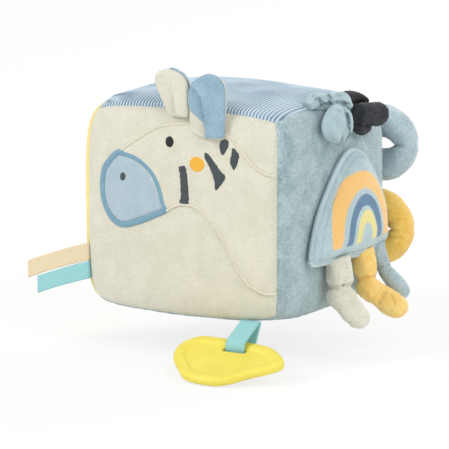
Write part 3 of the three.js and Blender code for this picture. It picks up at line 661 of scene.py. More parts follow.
def makeFace():
    top = smoothPath(onFlat(face["headTop"]), 5)
    foot = smoothPath(onFlat(face["headFoot"]), 5)
    outline = [*top, *foot, *onFlat(face["headHidden"])]
    step = 1.4
    groove = (face["stitchInset"], 0.4, 0.8)
    head = frontPatch("zebraHead", outline, step, face["cloth"], 1.1, 0.05, "creamVelour", groove)
    dress(head, "block", "cream_velour", "zebra_head")
    bm = bmesh.new()
    for line in (top, foot):
        for inset, thick in ((0.9, 2.0), (3.4, 0.8)):
            row = [onFront(p.x, p.y, face["cloth"] - 0.2) for p in insetPath(line, -inset)]
            addStitches(bm, row, 1.1, 1.6, thick)
    dress(makePiece("headStitches", bm, "creamThread"), "block", "cream_velour")

    edge = closedPath(onFlat(face["muzzle"]), 5)
    inner = [p + (Vector((-36, 88, 0)) - p).normalized() * 4.2 for p in edge]
    patch = frontPatch("muzzlePatch", inner, step, 1.2, 3.0, 0.5, "muzzleVelour")
    dress(patch, "block", "muzzle_velour", "muzzle_patch")
    border = satinBand("muzzleBorder", edge, face["border"], 0.9, 1.0, "blueThread")
    dress(border, "block", "blue_thread", "muzzle_border")

    for name, (centre, radii, lean, cloth, slot) in embroidery.items():
        oval = []
        for i in range(32):
            angle = 2 * math.pi * i / 32
            point = Matrix.Rotation(lean, 2) @ Vector((radii[0] * math.cos(angle), radii[1] * math.sin(angle)))
            oval.append(Vector((centre[0] + point.x, centre[1] + point.y, 0)))
        base = 1.6 if name == "nostril" else 0.6
        spot = frontPatch(name + "Stitching", oval, 0.7, 0.7, 1.2, base, cloth)
        dress(spot, "block", slot, name)
        if name == "cheek":
            rim = satinBand("cheekRim", oval, 1.8, 0.55, 0.9, "amberThread")
            dress(rim, "block", slot)
    for name, points in stripes.items():
        outline = closedPath(onFlat(points), 7)
        for p in outline:  # the satin stitches end unevenly
            p += 0.55 * Vector((noise.noise(p / 1.1), noise.noise(p / 1.1 + Vector((9, 0, 0))), 0))
        stripe = frontPatch(name.replace("_", ""), outline, 0.8, 0.75, 1.0, 0.6, "darkThread")
        dress(stripe, "block", "dark_thread", name)


satin = {"pitch": 0.45, "rows": 8, "sunk": 0.6, "ragged": 0.25, "ridge": 0.12, "thread": 0.4}


def satinBand(name, edge, width, height, base, cloth):
    # threads laid side by side across a closed outline, standing proud of the cloth
    fine = []
    for a, b in zip(edge, edge[1:] + edge[:1]):
        count = max(1, round((b - a).length / satin["pitch"]))
        fine += [a.lerp(b, k / count) for k in range(count)]
    count = len(fine)
    bm = bmesh.new()
    bm.loops.layers.uv.new("cloth")
    bmesh.ops.create_grid(bm, x_segments=count, y_segments=satin["rows"], size=1)
    uv = bm.loops.layers.uv["cloth"]
    for facet in bm.faces:
        for loop in facet.loops:
            loop[uv].uv = (round((loop.vert.co.x + 1) / 2 * count) * satin["pitch"], 0)
    for vert in bm.verts:
        i = round((vert.co.x + 1) / 2 * count) % count
        share = (vert.co.y + 1) / 2
        run = fine[(i + 2) % count] - fine[i - 2]
        side = Vector((run.y, -run.x, 0)).normalized()
        ragged = satin["ragged"] * noise.noise(fine[i] / 1.1)
        bulge = max(0.0, math.sin(math.pi * share)) ** 0.6
        ridge = 1 + satin["ridge"] * math.sin(i * 1.9)
        place = fine[i] + side * (share * (width + ragged))
        vert.co = onFront(place.x, place.y, base - satin["sunk"] + height * bulge * ridge) * mm
    bmesh.ops.remove_doubles(bm, verts=bm.verts, dist=1e-6)
    bmesh.ops.recalc_face_normals(bm, faces=bm.faces)
    made = makePiece(name, bm, cloth)
    closeSheet(made, satin["thread"])
    return made


makeFace()
print("face ready")


# The ears: a cream leaf behind, blue pile in front on the right ear and behind on the left, where the same blue pile is
# painted lighter to lift its shade

ears = {
    "right": {
        "outline": [(23.4, 129.2), (10.6, 132.4), (9.2, 139), (8.4, 147), (7.2, 155.5), (8.0, 161.7), (11.4, 167),
                    (17.1, 171.1),
                    (24.2, 172.9), (30.2, 172.2), (34.9, 168.5), (37.2, 162.7), (37.7, 153.1), (37.4, 142),
                    (36.8, 131.5), (34.9, 129.2)],
        "lining": [(24.6, 130.6), (22.6, 138), (16.4, 143.6), (10.4, 147.6), (8.0, 155), (8.7, 161.4),
                   (11.9, 166.5), (17.4, 170.4),
                   (24.4, 173.6), (30.6, 172.9), (35.6, 169.2), (38.2, 163.1), (38.8, 153.1), (38.5, 142),
                   (37.8, 131.8), (35.2, 130)],
        "pleat": [(15.4, 163.5), (21.3, 157.6), (24.1, 149.9), (25.2, 142), (25.9, 130)],
        "foot": (24.3, 130.5),
        "plane": (-84.6, 0.1),
        "pile": "bluePile",
        "thick": 3.2,
    },
    "left": {
        "outline": [(0.5, 141.8), (-7.0, 142.8), (-9.9, 147.2), (-13.4, 154.8), (-16.8, 162), (-18, 167.6),
                    (-17, 171), (-14.4, 173),
                    (-8.6, 174.2), (-1.5, 171.8), (4.7, 168), (7.4, 162.4), (8.2, 156), (8.4, 149.6), (8.0, 142.6)],
        "lining": [(0.5, 143.6), (-5.8, 145), (-9, 149.6), (-12, 156.4), (-15.2, 162.2), (-16.8, 167.8), (-15.6, 171.8),
                   (-8.2, 175), (-0.4, 173), (6, 169), (8.9, 163.2), (9.3, 156.4), (8.6, 150), (7.4, 145)],
        "pleat": [(-2.2, 152), (-1.2, 147), (0.4, 142)],
        "foot": (-0.5, 144.8),
        "plane": (-81.2, 0.1),
        # the left lining's pile is the blue ear pile painted lighter against the shade it lies in
        "pile": "litBluePile",
        "thick": 3.0,
    },
}


def earFace(size, pleat, name, x, z, d, lift, front):
    low = size["foot"][1]
    up = (z - low) / 42
    middle = size["plane"][0] + size["plane"][1] * (z - low)
    side = (x - size["foot"][0]) / 16
    if name == "right":
        middle += 3.5 * side * side * (1.1 - 0.5 * up)
    else:
        middle -= 3.2 * side * side * (1.1 - 0.5 * up)
        middle -= 4.5 * max(0.0, side * 0.9 + up - 0.62) ** 1.4
    thick = size["thick"] * rise(d, 3.2) * (0.55 + 0.45 * min(1, up * 2))
    y = middle - (thick + lift if front else -thick)
    if front:
        gap, sign, _ = lineSide(Vector((x, z, 0)), pleat)
        deep = 1.0 if name == "right" else 0.5
        if sign > 0:  # the half nearer the zebra's nose laps over the other
            y -= 3.6 * deep * math.exp(-gap / 6) * min(1, d / 2)
        else:
            y += 4.4 * deep * math.exp(-gap / 3.2) * min(1, d / 2)
    y += 0.5 * noise.noise(Vector((x, z, 5)) / 9)
    return Vector((x, y, z))


def makeEars():
    step = 0.8
    for name, size in ears.items():
        outline = closedPath(onFlat(size["outline"]), 4)
        pleat = smoothPath(onFlat(size["pleat"]), 5)
        bm = bmesh.new()
        addPatch(bm, outline, step, lambda x, z, d: earFace(size, pleat, name, x, z, d, 0, True))
        faces = set(bm.faces)
        addPatch(bm, outline, step, lambda x, z, d: earFace(size, pleat, name, x, z, d, 0, False))
        bmesh.ops.reverse_faces(bm, faces=[f for f in bm.faces if f not in faces])
        bmesh.ops.remove_doubles(bm, verts=bm.verts, dist=0.05 * mm)
        outer = makePiece(name + "EarOuter", bm, "creamVelour")
        dress(outer, name + "_ear", "cream_velour", name + "_ear_outer")
        lined = closedPath(onFlat(size["lining"]), 4)
        facing = name == "right"
        bm = bmesh.new()

        def lift(d):  # sunk at its sewn edge, proud further in
            return -0.3 + 1.1 * rise(d, 1.6)

        if facing:
            addPatch(bm, lined, step, lambda x, z, d: earFace(size, pleat, name, x, z, d + 2, lift(d), True))
        else:
            addPatch(bm, lined, step, lambda x, z, d: earFace(size, pleat, name, x, z, d + 2, 0, False) + Vector((0, lift(d), 0)))
            bmesh.ops.reverse_faces(bm, faces=bm.faces)
        lining = makePiece(name + "EarLining", bm, size["pile"])
        closeSheet(lining, 0.6)
        dress(lining, name + "_ear", "blue_pile", name + "_ear_lining")


makeEars()
print("ears ready")


# Ribbons: folded grosgrain tags at the left seam, and the loop that holds the teether

tagSize = {"width": 12.5, "cloth": 0.8, "hollow": 1.4, "seam": (-75.2, -75.7)}
tags = {
    "beige": {"length": 52, "level": 39.8, "droop": 0.28, "cloth": "beigeRibbon"},
    "turquoise": {"length": 44, "level": 26.6, "droop": 0.29, "cloth": "turquoiseRibbon"},
}


def addBand(bm, path, axis, width, cells=12):
    # a ribbon that runs along a path, as wide as axis says; its rows count millimetres for the weave
    uv = bm.loops.layers.uv.get("cloth") or bm.loops.layers.uv.new("cloth")
    start = path[0] - axis * width / 2
    row = [bm.verts.new((start + axis * width * k / cells) * mm) for k in range(cells + 1)]
    edges = [bm.edges.new(pair) for pair in zip(row, row[1:])]
    run = 0.0
    for a, b in zip(path, path[1:]):
        made = bmesh.ops.extrude_edge_only(bm, edges=edges)["geom"]
        verts = [item for item in made if isinstance(item, bmesh.types.BMVert)]
        edges = [item for item in made if isinstance(item, bmesh.types.BMEdge) and all(v in verts for v in item.verts)]
        bmesh.ops.translate(bm, verts=verts, vec=(b - a) * mm)
        reach = run + (b - a).length
        for facet in {f for v in verts for f in v.link_faces}:
            for loop in facet.loops:
                loop[uv].uv = (reach if loop.vert in verts else run, (loop.vert.co / mm - b).dot(axis))
        run = reach
    return bm


def makeTags():
    for name, size in tags.items():
        spacing = tagSize["hollow"] + tagSize["cloth"]
        length, droop = size["length"], size["droop"]
        bottom = [Vector((-s * (length - spacing / 2) / 16, 0, 0)) for s in range(17)]
        hub = Vector((-(length - spacing / 2), spacing / 2, 0))
        spoke = Vector((0, -spacing / 2, 0))
        bend = [hub + Matrix.Rotation(-math.pi * k / 8, 3, "Z") @ spoke for k in range(1, 8)]
        flat = bottom + bend + [p + Vector((0, spacing, 0)) for p in reversed(bottom)]
        seam = Vector((tagSize["seam"][0], tagSize["seam"][1] - spacing - tagSize["cloth"] / 2, size["level"]))
        path = []
        for p in flat:
            swell = 1.0 * math.sin(math.pi * min(1, -p.x / length)) * (1 if p.y > spacing / 2 else -1)
            path.append(seam + Vector((p.x, p.y + swell, droop * p.x - 0.0012 * p.x * p.x)))
        bm = addBand(bmesh.new(), path, Vector((0, 0, 1)), tagSize["width"])
        tag = makePiece(name + "Tag", bm, size["cloth"])
        addModifier(tag, "SOLIDIFY", thickness=tagSize["cloth"] * mm, offset=0)
        dress(tag, name + "_tag", name + "_ribbon", name + "_tag")


makeTags()

teether = {
    "outline": [(-39.4, 16.6), (-42.6, 0.5), (-36.2, -10.6), (-28.4, -13.6), (-14.7, -13.4), (0, -12.4),
                (20.6, -9.9), (31.7, -4.4), (41.2, 4.7),
                (42.2, 12), (35, 20), (26.1, 27.4), (17.3, 36.4), (7.3, 41.9), (-9.2, 41.7), (-19.9, 38.2), (-28, 29.9)],
    "slot": (19, 4.6),
    "place": (55, -99, -15),
    "tilt": 0.31,
    "thick": 6.0,
    "rim": 6.5,
    "recess": 1.5,
}
ribbon = {"width": 14.8, "cloth": 0.9, "loop": 7.1, "seam": (-75.6, 2.8)}


def makeTeether():
    rubber = blankMaterial("teetherSilicone")  # moulded silicone: even colour, soft satin gloss, faint bloom
    place = addNode(rubber, "TexCoord").outputs["Object"]
    cloud = addNode(rubber, "TexNoise", {"Vector": place, "Scale": 1 / (14 * mm), "Detail": 3.0})
    speck = addNode(rubber, "TexNoise", {"Vector": place, "Scale": 1 / (0.8 * mm), "Detail": 1.0})
    colour = addNode(rubber, "Mix", {0: cloud.outputs[0], 6: linear("#EED94C"), 7: linear("#F6E970")}, data_type="RGBA")
    bump = addNode(rubber, "Bump", {"Height": speck.outputs[0], "Strength": 0.15, "Distance": 0.1 * mm})
    shader = addNode(
        rubber,
        "BsdfPrincipled",
        {
            "Base Color": colour.outputs[2],
            "Roughness": 0.42,
            "IOR": 1.41,
            "Subsurface Weight": 0.12,
            "Subsurface Radius": (0.004, 0.003, 0.001),
            "Subsurface Scale": 1.0,
            "Normal": bump.outputs[0],
        },
    )
    addNode(rubber, "OutputMaterial", {"Surface": shader.outputs[0]})
    outline = closedPath(onFlat([(a, -b) for a, b in teether["outline"]]), 5)
    step = 1.0
    half = teether["thick"] / 2

    def level(d):
        edge = half * (0.45 + 0.55 * rise(d, 2.2))
        inward = min(1, max(0, (d - teether["rim"]) / 2.2))
        return edge - teether["recess"] * inward * inward * (3 - 2 * inward)

    bm = bmesh.new()
    addPatch(bm, outline, step, lambda x, y, d: Vector((x, y, level(d))))
    faces = set(bm.faces)
    addPatch(bm, outline, step, lambda x, y, d: Vector((x, y, -level(d))))
    bmesh.ops.reverse_faces(bm, faces=[f for f in bm.faces if f not in faces])
    rimEdges = [edge for edge in bm.edges if edge.is_boundary]
    bmesh.ops.bridge_loops(bm, edges=rimEdges)
    bmesh.ops.recalc_face_normals(bm, faces=bm.faces)
    bmesh.ops.rotate(bm, verts=bm.verts, cent=(0, 0, 0), matrix=Matrix.Rotation(teether["tilt"], 3, "X"))
    bmesh.ops.translate(bm, verts=bm.verts, vec=Vector(teether["place"]) * mm)
    plate = makePiece("teetherPlate", bm, rubber)
    cutter = bmesh.new()
    bmesh.ops.create_cube(cutter, size=1)
    bmesh.ops.scale(cutter, verts=cutter.verts, vec=Vector((*teether["slot"], 20)) * mm)
    upright = [edge for edge in cutter.edges if abs((edge.verts[0].co - edge.verts[1].co).z) > 5 * mm]
    bmesh.ops.bevel(cutter, geom=upright, offset=1.9 * mm, affect="EDGES", segments=5, profile=0.5, material=-1)
    bmesh.ops.rotate(cutter, verts=cutter.verts, cent=(0, 0, 0), matrix=Matrix.Rotation(teether["tilt"], 3, "X"))
    bmesh.ops.translate(cutter, verts=cutter.verts, vec=Vector(teether["place"]) * mm)
    tool = makePiece("slotCutter", cutter, rubber, False)
    addModifier(plate, "BOOLEAN", operation="DIFFERENCE", solver="EXACT", object=tool)
    settle(plate)
    bpy.data.objects.remove(tool)
    plate.data.shade_smooth()
    plate.data.set_sharp_from_angle(angle=math.radians(50))
    dress(plate, "teether", "teether_rubber", "teether")

    tilt = Matrix.Rotation(teether["tilt"], 3, "X")
    centre = Vector(teether["place"]) + tilt @ Vector((0, 7.9, 0))
    seam = Vector((centre.x, *ribbon["seam"]))
    reach = seam - centre
    leave = math.acos(ribbon["loop"] / reach.length)
    aim = math.atan2(reach.z, reach.y)
    path = []
    side = Vector((0, -reach.z, reach.y)).normalized() * ribbon["cloth"] * 0.6
    loop = []
    for k in range(33):
        angle = aim + leave + k / 32 * 2 * (math.pi - leave)
        loop.append(centre + Vector((0, math.cos(angle), math.sin(angle))) * ribbon["loop"])
    path = [seam.lerp(loop[0], k / 8) + side * (1 - k / 8) for k in range(8)] + loop
    path += [loop[-1].lerp(seam, k / 8) - side * (k / 8) for k in range(1, 9)]
    bm = addBand(bmesh.new(), path, Vector((1, 0, 0)), ribbon["width"])
    band = makePiece("teetherRibbon", bm, "turquoiseRibbon")
    addModifier(band, "SOLIDIFY", thickness=ribbon["cloth"] * mm, offset=0)
    dress(band, "teether_ribbon", "turquoise_ribbon", "teether_ribbon")


makeTeether()
print("tags and teether ready")


# The flap: a padded tongue with a printed rainbow, bowed out by the legs behind its hem

flap = {
    "top": 113.4,
    "bottom": 40.6,
    "halfWidth": 52.5,
    "centre": -0.9,
    "lean": 8.8,
    "slant": -0.02,
    "shares": [(0, 0), (0.5, -0.005), (0.94, 0), (1, 0.04), (0.985, 0.2), (0.935, 0.35), (0.86, 0.48), (0.75, 0.6),
               (0.6, 0.73), (0.43, 0.85), (0.28, 0.93), (0.15, 0.98)],
    "bow": 6,
    "seat": 86.1,
    "edge": (1.2, 5.2),
    "dome": (9, 20),
    "hem": 3.8,
    "archFoot": 51,
    "arches": ((-1.2, (40.3, 49.5), (30.2, 37.6), "#FFC870"), (0, (25.2, 33.6), (17, 25.6), "#447499"),
               (1.6, (14.6, 22.4), (7.4, 13.4), "#F2E38C")),
}


def rainbowCloth():
    # printed velour: the dye sits in the pile, so the bands keep its grain and have soft edges
    cloth = pileCloth("rainbowVelour", "#C2D6DB", "#A5BFC6", tuft=1.4, relief=0.6)
    nodes, links = cloth.node_tree.nodes, cloth.node_tree.links
    shader = next(n for n in nodes if n.type == "BSDF_PRINCIPLED")
    ground = shader.inputs["Base Color"].links[0].from_socket
    uv = addNode(cloth, "UVMap", uv_map="cloth").outputs[0]
    place = addNode(cloth, "TexCoord").outputs["Object"]
    ragged = addNode(cloth, "TexNoise", {"Vector": place, "Scale": 1 / (1.6 * mm), "Detail": 2.0})
    shift = addNode(cloth, "Math", {0: ragged.outputs[0], 1: 0.5}, operation="SUBTRACT")
    shift = addNode(cloth, "Math", {0: shift.outputs[0], 1: 1.6}, operation="MULTIPLY")
    parts = addNode(cloth, "SeparateXYZ", {0: uv})
    above = addNode(cloth, "Math", {0: parts.outputs[1], 1: flap["archFoot"]}, operation="SUBTRACT").outputs[0]
    level = addNode(cloth, "Math", {0: above, 1: shift.outputs[0]}, operation="ADD").outputs[0]
    foot = addNode(cloth, "Math", {0: level, 1: 0.0}, operation="GREATER_THAN").outputs[0]

    def reach(aside, size):  # 1 on the outline of one arch, more outside it
        squares = []
        for part, length in ((aside, size[0]), (above, size[1])):
            share = addNode(cloth, "Math", {0: part, 1: length}, operation="DIVIDE").outputs[0]
            squares.append(addNode(cloth, "Math", {0: share, 1: share}, operation="MULTIPLY").outputs[0])
        total = addNode(cloth, "Math", {0: squares[0], 1: squares[1]}, operation="ADD").outputs[0]
        root = addNode(cloth, "Math", {0: total}, operation="SQRT").outputs[0]
        return addNode(cloth, "Math", {0: shift.outputs[0], 1: 1 / size[0], 2: root}, operation="MULTIPLY_ADD").outputs[0]

    for centre, outer, inner, ink in flap["arches"]:
        aside = addNode(cloth, "Math", {0: parts.outputs[0], 1: centre}, operation="SUBTRACT").outputs[0]
        inside = addNode(cloth, "MapRange", {"Value": reach(aside, outer), "From Min": 1.015, "From Max": 0.985}).outputs[0]
        outside = addNode(cloth, "MapRange", {"Value": reach(aside, inner), "From Min": 0.98, "From Max": 1.02}).outputs[0]
        band = addNode(cloth, "Math", {0: inside, 1: outside}, operation="MULTIPLY").outputs[0]
        band = addNode(cloth, "Math", {0: band, 1: foot}, operation="MULTIPLY").outputs[0]
        dyed = addNode(cloth, "Mix", {0: 0.94, 6: ground, 7: linear(ink)}, data_type="RGBA")
        mixed = addNode(cloth, "Mix", {0: band, 6: ground, 7: dyed.outputs[2]}, data_type="RGBA")
        ground = mixed.outputs[2]
    links.new(ground, shader.inputs["Base Color"])
    return cloth


def flapOutline(grow=0.0):
    shares = [*flap["shares"], (0, 1), *[(-a, b) for a, b in reversed(flap["shares"][1:])]]
    height = flap["top"] - flap["bottom"]
    points = []
    for a, b in shares:
        aside = a * (flap["halfWidth"] + grow) + flap["lean"] * b
        level = flap["bottom"] - grow + b * (height + 2 * grow) + flap["slant"] * aside
        points.append(Vector((flap["centre"] + aside, level, 0)))
    return closedPath(points, 4)


def onFlap(y, z, depth):
    down = (flap["top"] - z) / (flap["top"] - flap["bottom"])
    bow = flap["bow"] * down * (1 - ((y - flap["centre"]) / flap["halfWidth"]) ** 2)
    ripple = 0.8 * math.exp(-((z - flap["bottom"]) / 14)) * math.sin(y / 9 + 0.6)
    return Vector((flap["seat"] + bow + depth + ripple, y, z))


def makeFlap():
    outline = flapOutline()
    step = 1.3
    low, high = flap["edge"]

    def frontFace(y, z, d):
        level = low + 2.2 + (high - low - 2.2) * rise(d, 3.0)
        level += flap["dome"][0] * (1 - (1 - min(d / flap["dome"][1], 1)) ** 2)
        level -= 1.0 * math.exp(-(((d - flap["hem"]) / 0.9) ** 2))
        level += 0.45 * noise.noise(Vector((y, z, 3)) / 13)
        return onFlap(y, z, level)

    def backFace(y, z, d):
        return onFlap(y, z, low * (1 - 0.9 * rise(d, 2.5)))

    bm = bmesh.new()
    addPatch(bm, outline, step, frontFace)
    front = makePiece("flapFront", bm, rainbowCloth())
    closeSheet(front, 1.2)
    dress(front, "flap", "flap_velour", "flap_front")

    bm = bmesh.new()
    addPatch(bm, outline, step * 1.5, backFace)
    bmesh.ops.reverse_faces(bm, faces=bm.faces)
    lining = makePiece("flapLining", bm, "flapVelour")
    closeSheet(lining, 1.0)
    dress(lining, "flap", "flap_velour", "flap_lining")

    bm = bmesh.new()
    addPatch(bm, flapOutline(-3), step * 2, lambda y, z, d: onFlap(y, z, 2.6 + 2.2 * rise(d, 6)))
    faces = set(bm.faces)
    addPatch(bm, flapOutline(-3), step * 2, lambda y, z, d: onFlap(y, z, 2.6 - 0.9 * rise(d, 3)))
    bmesh.ops.reverse_faces(bm, faces=[f for f in bm.faces if f not in faces])
    bmesh.ops.remove_doubles(bm, verts=bm.verts, dist=0.05 * mm)
    wadding = makePiece("flapWadding", bm, "creamPlush")
    dress(wadding, "flap", "filling", "flap_wadding")

    row, rim = [], []
    for i, p in enumerate([*outline, outline[0]]):
        run = outline[(i + 1) % len(outline)] - outline[i % len(outline) - 1]
        side = Vector((-run.y, run.x, 0)).normalized()
        inner = p + side * flap["hem"]
        row.append(frontFace(inner.x, inner.y, flap["hem"]) + Vector((0.35, 0, 0)))
        outer = p + side * 0.4
        rim.append(onFlap(outer.x, outer.y, low + 0.9))
    bm = bmesh.new()
    addStitches(bm, row, 3.0, 2.6, 0.6)
    dress(makePiece("flapStitches", bm, "blueVelour"), "flap", "flap_velour")
    # the overcast rim: pale blue thread, painted lighter than its own colour against the shade at the flap's side
    bm = bmesh.new()
    addStitches(bm, rim, 1.25, 1.3, 5.4)
    dress(makePiece("flapOvercast", bm, "rimThread"), "flap", "flap_velour")


makeFlap()
print("flap ready")


# Knotted plush legs. Each is a stuffed strip, a band of itself wrapped round, and a foot.

legs = {
    "cream": {
        "cloth": "creamPlush",
        "slot": "cream_plush",
        "rolls": [
            ([(95, -25.4, 43), (96.4, -25.2, 37), (97, -25, 30), (97.4, -24.8, 25.6), (97.8, -24.6, 21)],
             [8.6, 9.0, 9.4, 9.0, 6.6], 5, 0.04),
            ([(98.2, -24.2, 14), (102, -23, 9), (105.8, -21.4, 5), (109, -20, 1.4)], [9.4, 8.6, 9.0, 7.6], 3, 0.04),
        ],
        "balls": [((98.2, -24.2, 14.8), (11.2, 11.2, 8.6), (0, 0.25, 0.2)), ((108.8, -20.2, 1.2), (8.6, 8.8, 7.8),
                  (0, 0.5, 0))],
        "creases": [
            ([(62, 9.6), (67.5, 9), (73.5, 9.8), (81.8, 10.7)], 2.6, 1.9),
            ([(74.1, 16), (73.2, 13), (73, 10)], 1.6, 1.4),
            ([(65, -4), (70, -6), (74.7, -8.1), (78.2, -7.4)], 0.9, 2.3),
            ([(78.5, -1.2), (81.8, -6.6)], 1.0, 2.0),
        ],
    },
    "yellow": {
        "cloth": "yellowPlush",
        "slot": "yellow_plush",
        "rolls": [
            ([(94.8, 12.4, 43.5), (95.4, 12.8, 38), (95.8, 13.3, 31.6), (96.2, 13.8, 27), (97, 14.6, 21)],
             [7.8, 8.4, 8.6, 8.2, 6.6], 5, 0.04),
            ([(99.5, 15.6, 13), (106, 18, 9.4), (112, 20, 5.4), (117.4, 22.2, 1.8)], [8.8, 8.2, 9.2, 8.4], 3, 0.04),
        ],
        "balls": [((99, 15.4, 14.2), (10.4, 10.6, 8.2), (0, 0.45, 0.2)), ((116.6, 22.2, 2.2), (8.8, 9.0, 8.4), (0, 0.5, 0))],
        "creases": [
            ([(83.5, 13.8), (90.1, 14.4), (94.3, 15.2), (99.4, 15.7)], 2.6, 1.3),
            ([(99.4, -2.4), (102.6, 3.5), (105.6, 5.4), (111.5, 6.8)], 2.4, 1.2),
            ([(108.2, 2.9), (109.8, 0), (110.5, -3.1)], 2.0, 0.9),
            ([(86.6, 7.1), (90.1, 3.5), (91.3, 0)], 0.9, 1.3),
        ],
    },
    "blue": {
        "cloth": "bluePlush",
        "slot": "blue_plush",
        "rolls": [
            ([(93.6, 36.4, 43.5), (95, 36.5, 37), (97, 36.6, 31), (99.8, 37, 24.6)], [5.6, 5.6, 5.4, 4.8], 4, 0.04),
            ([(101.2, 37.4, 22), (104.5, 38.2, 18), (108, 39.2, 13.6), (111, 40.2, 9.6)], [5.8, 6.0, 7.0, 6.8], 3, 0.04),
        ],
        "balls": [((101, 37.4, 22.4), (6.0, 6.0, 5.0), (0, 0.6, 0)), ((110.8, 40.2, 10.2), (7.0, 7.0, 6.4), (0, 0.6, 0))],
        "creases": [
            ([(97, 19.9), (102, 22), (107.4, 23.4)], 1.8, 1.1),
            ([(110.9, 10.1), (113.3, 11.6), (117.6, 11.9)], 1.4, 1.1),
        ],
    },
}


def makeLegs():
    for name, leg in legs.items():
        bm = bmesh.new()
        for route, radii, folds, depth in leg["rolls"]:
            addRoll(bm, route, radii, folds=folds, foldDepth=depth, twist=0.6)
        for ball in leg["balls"]:
            addBall(bm, *ball)
        strip = pufPiece(name + "Leg", bm, leg["cloth"], 0.8, 3, 0.25, 1.6, leg["creases"])
        dress(strip, "leg_" + name, leg["slot"], "leg_" + name)


makeLegs()
print("legs ready")


# Knotted strips at the top right seam: soft jersey in front, charcoal plush behind

knots = {
    "jersey": {
        "cloth": "jersey",
        "slot": "blue_jersey",
        "rolls": [
            ([(75.4, 0, 145.4), (79, -1, 147), (83, -3, 147.4)], [1.4, 3.2, 5.2], 5, 0.1, 0.9),
            ([(81.4, -15, 149.6), (83.6, -8, 150), (85.6, -1, 148), (87, 4.4, 143.6)], [3.6, 6.2, 6.2, 4.2], 6, 0.12, 0.9),
            ([(82, -11, 150), (78.5, -20, 151.6), (75.8, -28, 150.8),
              (75, -32.4, 148.2)], [4.4, 5.0, 5.2, 4.0], 6, 0.16, 0.85),
            ([(87, -13, 145.4), (90.8, -22.6, 140.4), (92, -27.6, 133),
              (91.4, -20, 124.6)], [4.4, 7.4, 8.4, 3.0], 5, 0.08, 0.92),
            ([(87.6, -5, 144.6), (91, -8, 137), (92, -11, 129), (91.6, -10, 122.4)], [4.4, 6.0, 6.0, 1.6], 5, 0.1, 0.92),
        ],
        "balls": [],
        "creases": [
            ([(58.9, 136.7), (61.8, 135.2), (65.8, 136.5), (70.9, 137.3), (76, 134.9), (79.6, 131.4)], 3.4, 1.2),
            ([(72, 138.8), (75, 136.8), (77.6, 136.2)], 2.6, 1.0),
            ([(75.5, 129.1), (76.5, 125), (77, 120.5), (77.3, 113.8), (75.5, 109.8)], 4.2, 1.2),
            ([(66.9, 131.7), (72, 130.1), (75.8, 127.9)], 1.8, 1.1),
            ([(53.4, 140.3), (56.7, 138.8), (58.5, 134.7)], 4.0, 1.3),
            ([(61.8, 144.4), (64.3, 140.3), (63.2, 136.8)], 3.0, 1.1),
            ([(68.4, 143.4), (72, 140.3)], 1.8, 1.0),
        ],
        "soften": 1,
        "fuzz": 0.08,
        "grain": 1.0,
    },
    "charcoal": {
        "cloth": "charcoalPlush",
        "slot": "charcoal_plush",
        "rolls": [
            ([(75.4, 28, 143.6), (79, 27, 144), (84, 25, 143.4)], [1.4, 3.2, 5.2], 3, 0.03, 0.95),
            ([(77.6, 9.5, 147.6), (78.6, 20, 148), (81, 29, 146.2), (84.6, 34, 142)], [4.2, 5.0, 5.0, 4.4], 3, 0.02, 1.0),
            ([(88.6, 15.5, 138.2), (92, 23, 137.2), (94, 33.6, 135.8)], [7.6, 8.2, 8.6], 3, 0.02, 1.0),
            ([(89.6, 12.6, 130.6), (90, 18, 127.2), (91, 25, 128.4)], [4.6, 4.8, 4.2], 3, 0.03, 1.0),
        ],
        "balls": [((94, 34, 135.8), (8.7, 8.7, 8.7), (0, 0, 0))],
        "creases": [
            ([(80.6, 137.8), (85.2, 138.3), (91.3, 140.3)], 2.6, 1.3),
            ([(82.1, 122), (87.2, 121.3), (94.4, 123)], 2.4, 1.3),
        ],
        "soften": 2,
        "fuzz": 0.35,
        "grain": 1.1,
    },
}


def makeKnots():
    for name, knot in knots.items():
        bm = bmesh.new()
        for i, (route, radii, folds, depth, flat) in enumerate(knot["rolls"]):
            addRoll(bm, route, radii, folds=folds, foldDepth=depth, twist=0.5, flat=flat, seed=i)
        for ball in knot["balls"]:
            addBall(bm, *ball)
        strip = pufPiece(name + "Knot", bm, knot["cloth"], 0.7, knot["soften"], knot["fuzz"], knot["grain"], knot["creases"])
        dress(strip, name + "_knot", knot["slot"], name + "_knot")


makeKnots()
print("knots ready")


# Plush rings at the back right seam: a stuffed tube drawn into a ring, puckered where it closes

rings = {
    "radius": 28,
    "tube": 11.5,
    "hole": (10.5, 4.2),
    "behind": 95.8,
    "darts": 9,
    "creases": {
        "blue": [([(111.7, 110.3), (116.8, 109.3), (121.9, 107.2)], 1.6, 1.3)],
        "yellow": [
            ([(105.6, 50.1), (110.3, 53.2), (116.3, 55.6)], 2.2, 1.3),
            ([(105.3, 43.9), (111.5, 43), (119.8, 41.6)], 1.8, 1.3),
        ],
    },
    "blue": (66.5, 105, "bluePlush", "blue_plush"),
    "yellow": (64, 42.8, "ringYellow", "yellow_plush"),
    "tab": {"height": 10, "cloth": 1.6, "seat": (75.3, 75.4), "length": 10.6, "turn": 2.2},
}


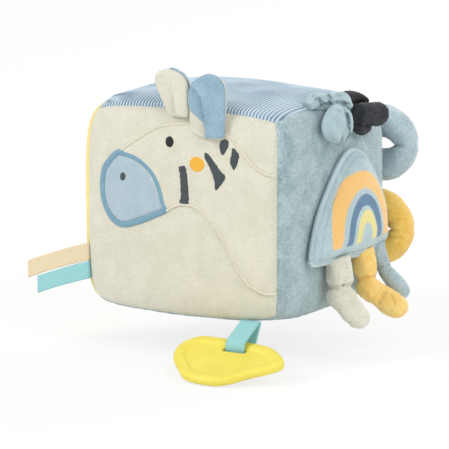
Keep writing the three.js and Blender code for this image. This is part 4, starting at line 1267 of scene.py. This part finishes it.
def makeRings():
    for index, name in enumerate(("blue", "yellow")):
        x, level, cloth, slot = rings[name]
        bm = bmesh.new()
        made = bmesh.ops.create_circle(bm, segments=48, radius=0.5)["verts"]
        bmesh.ops.translate(bm, verts=made, vec=(1, 0, 0))
        steps = 150
        bmesh.ops.rotate(bm, verts=made, cent=(1, 0, 0), matrix=Matrix.Rotation(math.pi / 2, 3, "X"))
        bmesh.ops.spin(bm, geom=list(bm.edges), cent=(0, 0, 0), axis=(0, 0, 1), angle=2 * math.pi, steps=steps, use_merge=True)
        bmesh.ops.remove_doubles(bm, verts=bm.verts, dist=1e-4)
        bmesh.ops.recalc_face_normals(bm, faces=bm.faces)
        for vert in bm.verts:
            spoke = Vector((vert.co.x, vert.co.y, 0)).normalized()
            wide, high = rings["hole"]
            hole = wide * high / math.hypot(high * spoke.x, wide * spoke.y)
            tube = (rings["radius"] - hole) / 2
            out = (vert.co - spoke) * 2
            inner = max(0.0, -out.dot(spoke))  # 1 at the hole, 0 on the crown
            uneven = noise.noise(Vector((spoke.x, spoke.y, index * 3)) * 2.2)
            dart = abs(math.sin(rings["darts"] * math.atan2(spoke.y, spoke.x) / 2 + 2.2 * uneven + index))
            pinch = inner**1.5 * (1 - dart) ** 3 * 0.8
            crease = 1.6 * math.exp(-((spoke.y / 0.09) ** 2)) * (1 - 0.6 * max(0.0, out.dot(spoke)))
            plump = 0.5 * noise.noise(vert.co * 2.5 + Vector((index * 5, 0, 0)))
            fuzz = 0.35 * noise.noise(vert.co * 14)
            plain = 1 - 0.75 * inner  # the hole itself stays even
            swell = 1 + ((plump + fuzz) * plain - pinch - crease) / rings["tube"]
            across = rings["radius"] - tube + out.dot(spoke) * tube * swell
            vert.co = (spoke * across + Vector((0, 0, out.z * rings["tube"] * swell))) * mm
        bmesh.ops.rotate(bm, verts=bm.verts, cent=(0, 0, 0), matrix=Matrix.Rotation(math.pi / 2, 3, "X"))
        bmesh.ops.translate(bm, verts=bm.verts, vec=Vector((x, rings["behind"], level)) * mm)
        bm.normal_update()
        moves = [(vert, vert.normal * creaseDepth(vert.co, vert.normal, rings["creases"][name]) * mm) for vert in bm.verts]
        for vert, move in moves:
            vert.co -= move
        ring = makePiece(name + "Ring", bm, cloth)
        dress(ring, name + "_ring", slot, name + "_ring")

        tab = rings["tab"]
        bm = bmesh.new()
        bmesh.ops.create_cube(bm, size=1)
        bmesh.ops.scale(bm, verts=bm.verts, vec=Vector((tab["length"] + 2, tab["cloth"], tab["height"])) * mm)
        bmesh.ops.bevel(bm, geom=list(bm.edges), offset=0.5 * mm, affect="EDGES", segments=3, profile=0.5, material=-1)
        bmesh.ops.translate(bm, verts=bm.verts, vec=Vector((tab["length"] / 2, 0, 0)) * mm)
        bmesh.ops.rotate(bm, verts=bm.verts, cent=(0, 0, 0), matrix=Matrix.Rotation(tab["turn"], 3, "Z"))
        bmesh.ops.translate(bm, verts=bm.verts, vec=Vector((*tab["seat"], level + 16.5)) * mm)
        strap = makePiece(name + "RingTab", bm, "blueVelour")
        dress(strap, name + "_ring", "blue_velour", name + "_ring_tab")


makeRings()
print("rings ready")
